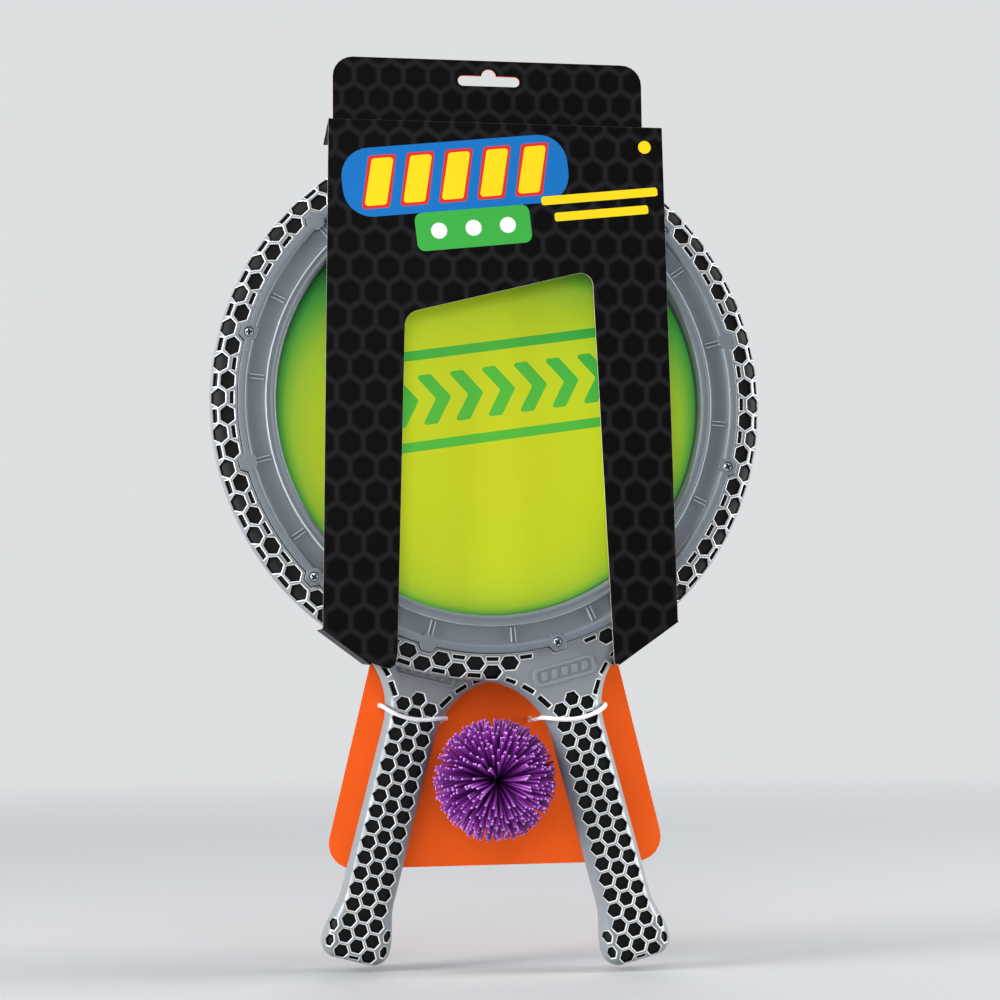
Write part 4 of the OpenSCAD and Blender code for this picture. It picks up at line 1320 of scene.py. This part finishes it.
@dataclass
class BouncingSheet:
    """The round elastic sheet, with a plain ribbon and arrowheads printed across its middle."""

    sizes: BatSizes
    lean: float
    ribbon_middle: Point = (6.0, 7.0)
    ribbon_tilt: float = 8.0
    ribbon: tuple[float, float, float] = (178.0, 52.0, 24.0)
    ribbon_inside: tuple[float, float, float] = (168.0, 42.0, 19.5)
    arrows: int = 9
    arrow_pitch: float = 17.0

    def motif(self) -> list[tuple[int, Line]]:
        """Draws the printed ribbon, its inside and its arrowheads, turned back against the bat's lean."""
        middle = turned([self.ribbon_middle], -self.lean)[0]
        tilt = self.ribbon_tilt - self.lean
        lines: list[tuple[int, Line]] = [
            (1, turned(bar(*self.ribbon, 10), tilt, middle)),
            (0, turned(bar(*self.ribbon_inside, 10), tilt, middle)),
        ]
        arrow = rounded([(-9, -13), (-1, -13), (8, 0), (-1, 13), (-9, 13), (0, 0)], [1.2] * 6, 3)
        for k in range(self.arrows):
            along = (k - (self.arrows - 1) / 2) * self.arrow_pitch
            lines.append((1, turned(arrow, tilt, turned([(along, 0.0)], tilt, middle)[0])))
        return lines

    def mesh(self) -> Mesh:
        """Builds the sheet with its print on both sides."""
        s = self.sizes
        half = Relief(
            cuts=[circle(s.sheet_r, 180)], creases=[circle(r, 120) for r in (30, 60, 90, 110)],
            height=lambda points: np.full(len(points), s.sheet_t / 2), thickness=DEEP,
            prints=self.motif(), edge=lambda ring: [(0.0, DEEP)])
        places, corners = half.triangles()
        out, count = Mesh(), len(places)
        out.points = [(p[0], -side * s.sheet_t / 2, p[1]) for side in (1, -1) for p in places]
        for face, kind in zip(corners, half.inks(places, corners)):
            a, b, c = (int(i) for i in face)
            out.faces += [(a, b, c), (count + a, count + c, count + b)]
            out.kinds += [int(kind)] * 2
        for a, b in open_edges(corners):
            out.faces.append((b, a, count + a, count + b))
            out.kinds.append(0)
        return out


@dataclass
class Tie:
    """A white tie: over the front of the neck and back through the card on both sides."""

    sizes: BatSizes
    depth: float
    lean: float
    thickness: float = 2.2
    bend_r: float = 8.0
    lock_t: float = 2.4
    tail: float = 0.35
    sag: float = 4.0
    rise: float = 1.5
    tilt: float = 1.6
    lift: float = 0.14

    def side(self, down: float) -> float:
        """Gives how far to the side the tie clears the neck, at a distance below the head's middle."""
        s = self.sizes
        fillet_x, fillet_s = s.fillet
        neck = fillet_x - math.sqrt(s.fillet_r ** 2 - max(0.0, fillet_s - down) ** 2)
        return neck + self.lift + self.thickness / 2

    def mesh(self) -> Mesh:
        """Builds the tie round its bat's neck."""
        s = self.sizes
        far, front, side = self.depth + self.lock_t + self.tail, s.tie_front, s.tie_side
        half = [(side, far - i * (far + front - self.bend_r) / 8) for i in range(8)]
        half += [(side - self.bend_r + self.bend_r * math.cos(math.radians(a)),
                  self.bend_r - front - self.bend_r * math.sin(math.radians(a))) for a in range(0, 91, 9)]
        reach = side - self.bend_r
        half += [(reach * (1 - i / 6), -front) for i in range(1, 6)]
        path = [*half, (0.0, -front), *((-x, y) for x, y in half[::-1])]
        points = []
        for x, y in path:
            share = x / side
            ahead = ((far - y) / (far + front)) ** 2
            low = self.sag * max(0.0, 1 - share ** 2)
            low += (math.copysign(self.tilt, self.lean) * share - self.rise) * ahead
            wider = max(0.0, self.side(s.tie_at + low) - side) * abs(share) ** 3
            points.append((x + math.copysign(wider, x), y, -s.tie_at - low))
        out = Mesh()
        out.tube(points, [self.thickness / 2] * len(points), 14)
        return out


@dataclass
class StrandBall:
    """The ball: soft rubber strands that grow from one heart and part away from the front and the back."""

    radius: float = 32.2
    heart_r: float = 5.0
    count: int = 900
    thickness: float = 1.3
    parting: float = 15.0
    parting_reach: float = 70.0
    steps: int = 8
    seed: int = 7

    def strand(self, dice: random.Random, number: int) -> tuple[list[Vector], list[float]]:
        """Lays one strand from the heart to its tip.

        Args:
            dice: the source of its bend, length and thickness.
            number: which strand it is.

        Returns:
            Its places and the radius at each, in millimetres.
        """
        golden = math.pi * (3 - math.sqrt(5))
        y = 1 - 2 * (number + 0.5) / self.count
        ring = math.sqrt(max(0.0, 1 - y * y))
        way = Vector((ring * math.cos(golden * number), y, ring * math.sin(golden * number)))
        way = (way + Vector([dice.uniform(-0.05, 0.05) for _ in range(3)])).normalized()
        pole = Vector((0, 1 if way.y > 0 else -1, 0))
        from_pole = math.degrees(way.angle(pole))
        aside = (way - pole * way.dot(pole)).normalized()
        lean = math.radians(self.parting) * max(0.0, 1 - from_pole / self.parting_reach)
        side = way.orthogonal().normalized()
        side.rotate(Matrix.Rotation(dice.uniform(0, 2 * math.pi), 3, way))
        bend = aside * math.tan(lean) + side * dice.uniform(0.0, 0.13)
        bend += Vector((0, 0, -dice.uniform(0.0, 0.04)))
        length = self.radius * dice.uniform(0.93, 0.98)
        thick = self.thickness * dice.uniform(0.85, 1.12)
        places, radii = [], []
        for step in range(self.steps):
            share = step / (self.steps - 1)
            places.append((way + bend * share ** 1.4).normalized() * (2.0 + (length - 2.0) * share))
            radii.append(thick / 2 * (0.6 + 0.4 * min(1.0, share * 1.8)))
        tip = (places[-1] - places[-2]).normalized()
        for out, narrow in ((0.1, 0.95), (0.28, 0.8), (0.38, 0.5)):
            places.append(places[self.steps - 1] + tip * thick * out)
            radii.append(thick / 2 * narrow)
        return places, radii

    def mesh(self) -> Mesh:
        """Builds every strand and the heart under them; the last faces of a strand are its pale tip."""
        dice = random.Random(self.seed)
        out, sides = Mesh(), 7
        for number in range(self.count):
            places, radii = self.strand(dice, number)
            out.tube(places, radii, sides)
            for face in range(1, 2 * sides + 1):
                out.kinds[-face - 1] = 1
            out.kinds[-1] = 1
        rows = 10
        heart = [(self.heart_r * math.cos(math.pi * k / rows - math.pi / 2) + 1e-3,
                  self.heart_r * math.sin(math.pi * k / rows - math.pi / 2)) for k in range(rows + 1)]
        out.lathe(heart, 20, closed=False)
        return out


class Print(Enum):
    """Finishes of the sleeve by number."""

    CELLS = 0
    CUT = 1
    INSIDE = 2
    BLUE = 3
    RED = 4
    YELLOW = 5
    GREEN = 6
    PALE = 7


@dataclass
class Sleeve:
    """The printed sleeve: a front with a window, a top and two feet, each folded back to the card."""

    left: float = 90.6
    right: float = 84.2
    top: float = 37.6
    back: float = 52.1
    card_t: float = 0.6
    fold_r: float = 1.0
    foot_left: Point = (-95.0, -298.999)
    foot_right: Point = (88.6, -296.981)
    left_fold: Point = (-70.8, -317.234)
    right_fold: Point = (57.0, -318.941)
    left_tab: Point = (-58.6, -320.321)
    right_leg: Point = (54.4, -319.258)
    window_foot: Point = (-57.0, -312.158)
    window_left: Point = (-51.9, -138.1)
    window_right: Point = (45.9, -114.1)
    design_middle: Point = (-25.0, -66.0)
    design_tilt: float = 6.0
    top_flap_end: float = 1.5
    foot_flap_end: float = 0.9
    flap_waist: float = 30.0
    fold_rows: int = 9

    def outline(self) -> Line:
        """Draws the front, held back from its three folds by the fold's radius."""
        r = self.fold_r

        def inward(a: Point, b: Point) -> tuple[Point, Point]:
            """Moves a fold line into the front."""
            out = to_the_right(a, b) * r
            return tuple(np.array(a) - out), tuple(np.array(b) - out)

        right_b, right_a = inward(self.right_fold, self.foot_right)
        left_b, left_a = inward(self.foot_left, self.left_fold)
        corners = [(-self.left, -self.top - r), (self.right, -self.top - r), right_a, right_b, self.right_leg,
                   self.window_right, self.window_left, self.window_foot, self.left_tab, left_a, left_b]
        return rounded(corners, [0, 0, 0, 0, 1.2, 6.5, 8.5, 0.8, 4, 0, 0], 8)

    def prints(self) -> list[tuple[int, Line]]:
        """Draws the front's plain design: a ribbon with slanted bars, a dotted tab, stripes and a dot."""
        tilt = self.design_tilt

        def at(x: float, z: float, line: Line, kind: Print) -> tuple[int, Line]:
            """Puts one shape on the tilted line of the design."""
            return kind.value, turned(line, tilt, turned([(x, z)], tilt, self.design_middle)[0])

        def slanted(width: float, height: float) -> Line:
            """Draws a slanted bar."""
            lean, w, h = 3.2, width / 2, height / 2
            return rounded([(-w - lean, -h), (w - lean, -h), (w + lean, h), (-w + lean, h)], [1.6] * 4, 4)

        shapes = [at(0, 0, bar(118, 36, 15, 8), Print.BLUE)]
        for width, height, kind in ((14.6, 27.6, Print.RED), (11.4, 24.4, Print.YELLOW)):
            shapes += [at(x, 0, slanted(width, height), kind) for x in range(-40, 41, 20)]
        shapes += [at(6, -28, bar(60, 20, 4, 5), Print.GREEN)]
        shapes += [at(x, -28, circle(4.2, 24), Print.PALE) for x in (-12, 6, 24)]
        shapes += [at(74, z, bar(length, 4.6, 1.2, 3), Print.YELLOW) for z, length in ((-17, 62), (-26, 50))]
        shapes += [at(101, 7, circle(3.4, 20), Print.YELLOW)]
        return shapes

    def fold(self, out: Mesh, a: Point, b: Point, deep: float) -> None:
        """Bends the board back along the line from a to b, with the front on the line's left.

        Args:
            out: the mesh to add to.
            a: start of the fold.
            b: end of the fold.
            deep: how far behind the origin's plane the flap ends, in front of the card.
        """
        front, t, r = self.back + self.card_t, self.card_t, self.fold_r
        n = to_the_right(a, b)

        def arc(radius: float) -> Line:
            """Draws a quarter turn of the fold, from the front to the flap."""
            turns = [math.radians(k) for k in range(0, 91, 15)]
            return [(-r + radius * math.sin(k), front - r + radius * math.cos(k)) for k in turns]

        outer = [*arc(r), (0.0, self.flap_waist), (0.0, deep)]
        section = [*outer, (-t, deep), (-t, self.flap_waist), *arc(r - t)[::-1]]
        count, rows = len(section), self.fold_rows
        points = []
        for i in range(rows):
            place = np.array(a) + (np.array(b) - a) * i / (rows - 1)
            points += [(place[0] + n[0] * o, -h, place[1] + n[1] * o) for o, h in section]
        faces, kinds = [], []
        for i in range(rows - 1):
            for k in range(count):
                m = (k + 1) % count
                faces.append((i * count + k, i * count + m, (i + 1) * count + m, (i + 1) * count + k))
                kinds.append(Print.CUT.value if k == len(outer) - 1 else 0)
        for i in (0, rows - 1):
            for k in range(len(outer) - 1):
                m = count - 2 - k
                quad = (i * count + k, i * count + m + 1, i * count + m, i * count + k + 1)
                faces.append(quad if i == 0 else quad[::-1])
                kinds.append(Print.CUT.value)
        out.add(points, faces)
        out.kinds[-len(kinds):] = kinds

    def mesh(self) -> Mesh:
        """Builds the whole sleeve."""
        front = self.back + self.card_t
        relief = Relief(
            cuts=[self.outline()], height=lambda points: np.full(len(points), front),
            thickness=self.card_t, prints=self.prints(),
            edge=lambda ring: [(0.05, 0.03), (0.06, 0.3), (0.05, self.card_t)],
            edge_kind=Print.CUT.value, wall_kind=Print.INSIDE.value)
        out = relief.mesh()
        self.fold(out, (self.right, -self.top), (-self.left, -self.top), self.top_flap_end)
        self.fold(out, self.right_fold, self.foot_right, self.foot_flap_end)
        self.fold(out, self.foot_left, self.left_fold, self.foot_flap_end)
        return out


# Flat inks of the sleeve's design, after its own print, its cut edge and its inside
SLEEVE_FINISHES: list[Finish] = [SLEEVE_PRINT, CUT_BOARD, CARD_INSIDE, *(
    PrintedCard(f"paperboard_{ink.name.lower()}_ink", ink.value, 0.42)
    for ink in (Ink.BLUE, Ink.RED, Ink.YELLOW, Ink.GREEN, Ink.PALE))]


@dataclass
class Bat:
    """One bat with all its pieces, where it hangs on the card."""

    name: str
    side: float
    depth: float
    drop: float
    lean: float
    sizes: BatSizes = field(default_factory=BatSizes)

    @property
    def place(self) -> Matrix:
        """Gives the bat's place in the frame, in metres."""
        turn = Matrix.Rotation(math.radians(-self.lean), 4, "Y")
        return Matrix.Translation((self.side * MM, -self.depth * MM, -self.drop * MM)) @ turn

    def add(self, mesh: Mesh, part: str, finishes: Sequence[Finish], slot: str,
            smooth: float = 40.0) -> bpy.types.Object:
        """Adds one piece of the bat.

        Args:
            mesh: its mesh in the bat's own coordinates.
            part: what it is, as the model names it.
            finishes: its finishes by number.
            slot: the record's material slot.
            smooth: the greatest angle that shades as one surface.

        Returns:
            The piece.
        """
        thing = mesh.object(f"{self.name}_{part}_shown", finishes, self.place, smooth)
        return show(thing, self.name, slot, f"{self.name}_{part}")

    def inks(self) -> list[Finish]:
        """Gives the two finishes of this bat's sheet, centred on its head."""
        middle = (self.side, -self.depth, -self.drop)
        return [replace(ink, name=f"{ink.name}_{self.name}", middle_mm=middle)
                for ink in (SHEET_KNIT, SHEET_MOTIF)]

    def build(self, kit: "BatKit") -> None:
        """Builds the bat from the shared meshes.

        Args:
            kit: the meshes that both bats share.
        """
        shells, rings = [SHELL_ABS, EDGE_HIGHLIGHT_ABS, WALL_SHADE_ABS], [RING_ABS, RING_WALL_SHADE, RING_HIGHLIGHT]
        zinc = [SCREW_ZINC, SCREW_CROSS_SHADE]
        for part, mesh, finishes, slot, smooth in (
                ("face_shell", kit.shell, shells, "frame_grey", 35),
                ("rear_shell", kit.shell.mirrored(), shells, "frame_grey", 35),
                ("rim_core", kit.rim, [CORE_FOAM], "core_black", 40),
                ("grip_core", kit.grip, [CORE_FOAM], "core_black", 40),
                ("face_ring", kit.ring_face, rings, "ring_grey", 38),
                ("rear_ring", kit.ring_rear.mirrored(), rings, "ring_grey", 38),
                ("face_screws", kit.screws_face, zinc, "screw_steel", 40),
                ("rear_screws", kit.screws_rear.mirrored(), zinc, "screw_steel", 40)):
            self.add(mesh, part, finishes, slot, smooth)
        sheet = self.add(BouncingSheet(self.sizes, self.lean).mesh(), "sheet", self.inks(), "sheet_lime")
        self.add(Tie(self.sizes, self.depth, self.lean).mesh(), "tie", [TIE_NYLON], "tie_white")


@dataclass
class BatKit:
    """Meshes that both bats share, in a bat's own coordinates."""

    sizes: BatSizes
    shell: Mesh = field(init=False)
    rim: Mesh = field(init=False)
    grip: Mesh = field(init=False)
    ring_face: Mesh = field(init=False)
    ring_rear: Mesh = field(init=False)
    screws_face: Mesh = field(init=False)
    screws_rear: Mesh = field(init=False)

    def __post_init__(self) -> None:
        """Builds the meshes."""
        outline = Outline(self.sizes)
        comb = CombShell(self.sizes, outline)
        core = FoamCore(self.sizes, outline, comb)
        ring, screws = ClampRing(self.sizes, comb), Screws(self.sizes)
        self.shell = comb.mesh()
        self.rim, self.grip = core.rim(), core.grip()
        self.ring_face, self.ring_rear = ring.mesh(0), ring.mesh(30)
        self.screws_face, self.screws_rear = screws.mesh(0), screws.mesh(30)


@dataclass
class Packaging:
    """The hanging card, the stops of the ties and the sleeve."""

    sleeve: Sleeve = field(default_factory=Sleeve)

    def build(self) -> None:
        """Dresses the card's own solids and adds the folded sleeve."""
        finishes = {"backing_card": CARD_ORANGE, "header_card": HEADER_PRINT, "tie_locks": TIE_NYLON,
                    "ball_tie": TIE_NYLON}
        for name, finish in finishes.items():
            dress(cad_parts[name], finish)
        thing = self.sleeve.mesh().object("sleeve_shown", SLEEVE_FINISHES, Matrix.Identity(4), 30)
        show(thing, "sleeve", "card_black", "sleeve")


def dress(thing: bpy.types.Object, finish: Finish) -> None:
    """Gives one of the model's own solids a finish.

    Args:
        thing: the solid's object.
        finish: its finish.
    """
    if not thing.material_slots:
        thing.data.materials.append(None)
    for slot in thing.material_slots:
        slot.link = "OBJECT"
        slot.material = finish.make()
    log.info("%s: %s", thing.name, finish.name)


@dataclass(frozen=True)
class Lamp:
    """One soft box: its name, its place and its two sides in metres, and its power in watts."""

    name: str
    place: tuple[float, float, float]
    size: tuple[float, float]
    power: float

    def hang(self, target: Sequence[float]) -> None:
        """Hangs the box so that it points at a target."""
        light = bpy.data.lights.new(self.name, "AREA")
        light.shape = "RECTANGLE"
        light.size, light.size_y = self.size
        light.energy = self.power
        way = Vector(target) - Vector(self.place)
        turn = way.to_track_quat("-Z", "Y").to_matrix().to_4x4()
        put(self.name, light).matrix_world = Matrix.Translation(self.place) @ turn


@dataclass
class Studio:
    """Camera, floor, background and lamps."""

    azimuth: float = -8.39
    elevation: float = -4.49
    roll: float = -0.64
    distance: float = 1.007
    focal_px: float = 1919.7
    target: tuple[float, float, float] = (-0.00015, -0.027, -0.23203)
    floor_z: float = -0.4745
    backdrop: str = "E2E4E6"
    floor_colour: str = "B2B4B6"
    floor_half: float = 6.0
    floor_fade: tuple[float, float] = (0.55, 1.7)
    picture_px: int = 1000
    sensor_mm: float = 36.0
    middle: tuple[float, float, float] = (0.0, -0.02, -0.23)
    lamps: tuple[Lamp, ...] = (
        Lamp("right box", (1.45, -0.27, -0.05), (0.5, 1.5), 42),
        Lamp("left box", (-1.45, -0.3, -0.05), (0.5, 1.5), 44),
        Lamp("front box", (-0.55, -1.85, 0.25), (1.0, 0.9), 9.5),
        Lamp("top box", (0.0, -0.45, 1.3), (1.2, 0.6), 6),
        Lamp("back box", (0.3, 1.7, 0.6), (1.6, 1.2), 16))

    def camera(self) -> None:
        """Makes the camera of the photograph."""
        az, el, roll = (math.radians(v) for v in (self.azimuth, self.elevation, self.roll))
        ahead = Vector((math.sin(-az) * math.cos(el), math.cos(az) * math.cos(el), -math.sin(el)))
        right = Vector((math.cos(az), math.sin(az), 0))
        right = (right - ahead * right.dot(ahead)).normalized()
        up = right.cross(ahead)
        across = right * math.cos(roll) + up * math.sin(roll)
        above = up * math.cos(roll) - right * math.sin(roll)
        lens = bpy.data.cameras.new("camera")
        lens.sensor_width = self.sensor_mm
        lens.lens = self.sensor_mm * self.focal_px / self.picture_px
        lens.clip_start, lens.clip_end = 0.05, 30
        thing = put("camera", lens)
        turn = Matrix((across, above, -ahead)).transposed().to_4x4()
        thing.matrix_world = Matrix.Translation(Vector(self.target) - ahead * self.distance) @ turn
        bpy.context.scene.camera = thing

    def floor(self) -> None:
        """Makes the pale floor under the grips."""
        mesh = bpy.data.meshes.new("floor")
        size = self.floor_half
        mesh.from_pydata([(x * size, y * size, 0.0) for x, y in ((-1, -1), (1, -1), (1, 1), (-1, 1))],
                         [], [(0, 1, 2, 3)])
        thing = put("floor", mesh)
        thing.location.z = self.floor_z
        material = bpy.data.materials.new("floor_matt_paper")
        tree = bare_tree(material)
        shader = add_node(tree, "ShaderNodeBsdfPrincipled", {
            "Base Color": linear(self.floor_colour), "Roughness": 0.9, "Specular IOR Level": 0.2})
        place = add_node(tree, "ShaderNodeTexCoord").outputs["Object"]
        solid = add_node(tree, "ShaderNodeMapRange", {
            "interpolation_type": "SMOOTHSTEP", "From Min": self.floor_fade[0],
            "From Max": self.floor_fade[1], "To Min": 1.0, "To Max": 0.0},
            {"Value": calc(tree, "LENGTH", place, vector=True)})
        clear = add_node(tree, "ShaderNodeBsdfTransparent")
        mix = add_node(tree, "ShaderNodeMixShader", links={
            0: solid.outputs[0], 1: clear.outputs[0], 2: shader.outputs[0]})
        add_node(tree, "ShaderNodeOutputMaterial", links={"Surface": mix.outputs[0]})
        mesh.materials.append(material)

    def world(self) -> None:
        """Makes the soft light from all round, with the backdrop's own colour for the eye."""
        world = bpy.data.worlds.new("studio")
        bpy.context.scene.world = world
        tree = bare_tree(world)
        soft = add_node(tree, "ShaderNodeBackground", {"Color": (0.9, 0.95, 1.0, 1.0), "Strength": 0.28})
        seen = add_node(tree, "ShaderNodeBackground", {"Color": linear(self.backdrop), "Strength": 0.95})
        path = add_node(tree, "ShaderNodeLightPath").outputs
        sharp = calc(tree, "ADD", path["Is Camera Ray"], path["Is Transmission Ray"])
        any_sharp = calc(tree, "ADD", sharp, path["Is Glossy Ray"], clamp=True)
        mix = add_node(tree, "ShaderNodeMixShader", links={
            0: any_sharp, 1: soft.outputs[0], 2: seen.outputs[0]})
        add_node(tree, "ShaderNodeOutputWorld", links={"Surface": mix.outputs[0]})

    def build(self) -> None:
        """Sets up the whole studio."""
        self.camera()
        self.floor()
        self.world()
        for lamp in self.lamps:
            lamp.hang(self.middle)
        bpy.context.scene.view_settings.view_transform = "Standard"


def build_ball() -> None:
    """Builds the ball of strands in its place between the grips."""
    middle = Matrix.Translation([c * MM for c in STRAND_RUBBER.middle_mm])
    strands = StrandBall().mesh()
    ball = strands.object("ball_strands_shown", [STRAND_RUBBER, STRAND_TIP], middle, 60, weighted=False)
    show(ball, "ball", "strand_purple", "ball_strands")


def main() -> None:
    """Builds the studio, the bats, the ball and the packaging."""
    logging.basicConfig(level=logging.INFO, format="%(name)s: %(message)s")
    Studio().build()
    sizes = BatSizes()
    kit = BatKit(sizes)
    for bat in (Bat("front_bat", -7.2, 39.3, 182.6, 14.65, sizes),
                Bat("back_bat", -3.4, 14.0, 182.5, -14.65, sizes)):
        bat.build(kit)
    build_ball()
    Packaging().build()
    bpy.context.view_layer.update()


if __name__ == "__main__":
    main()
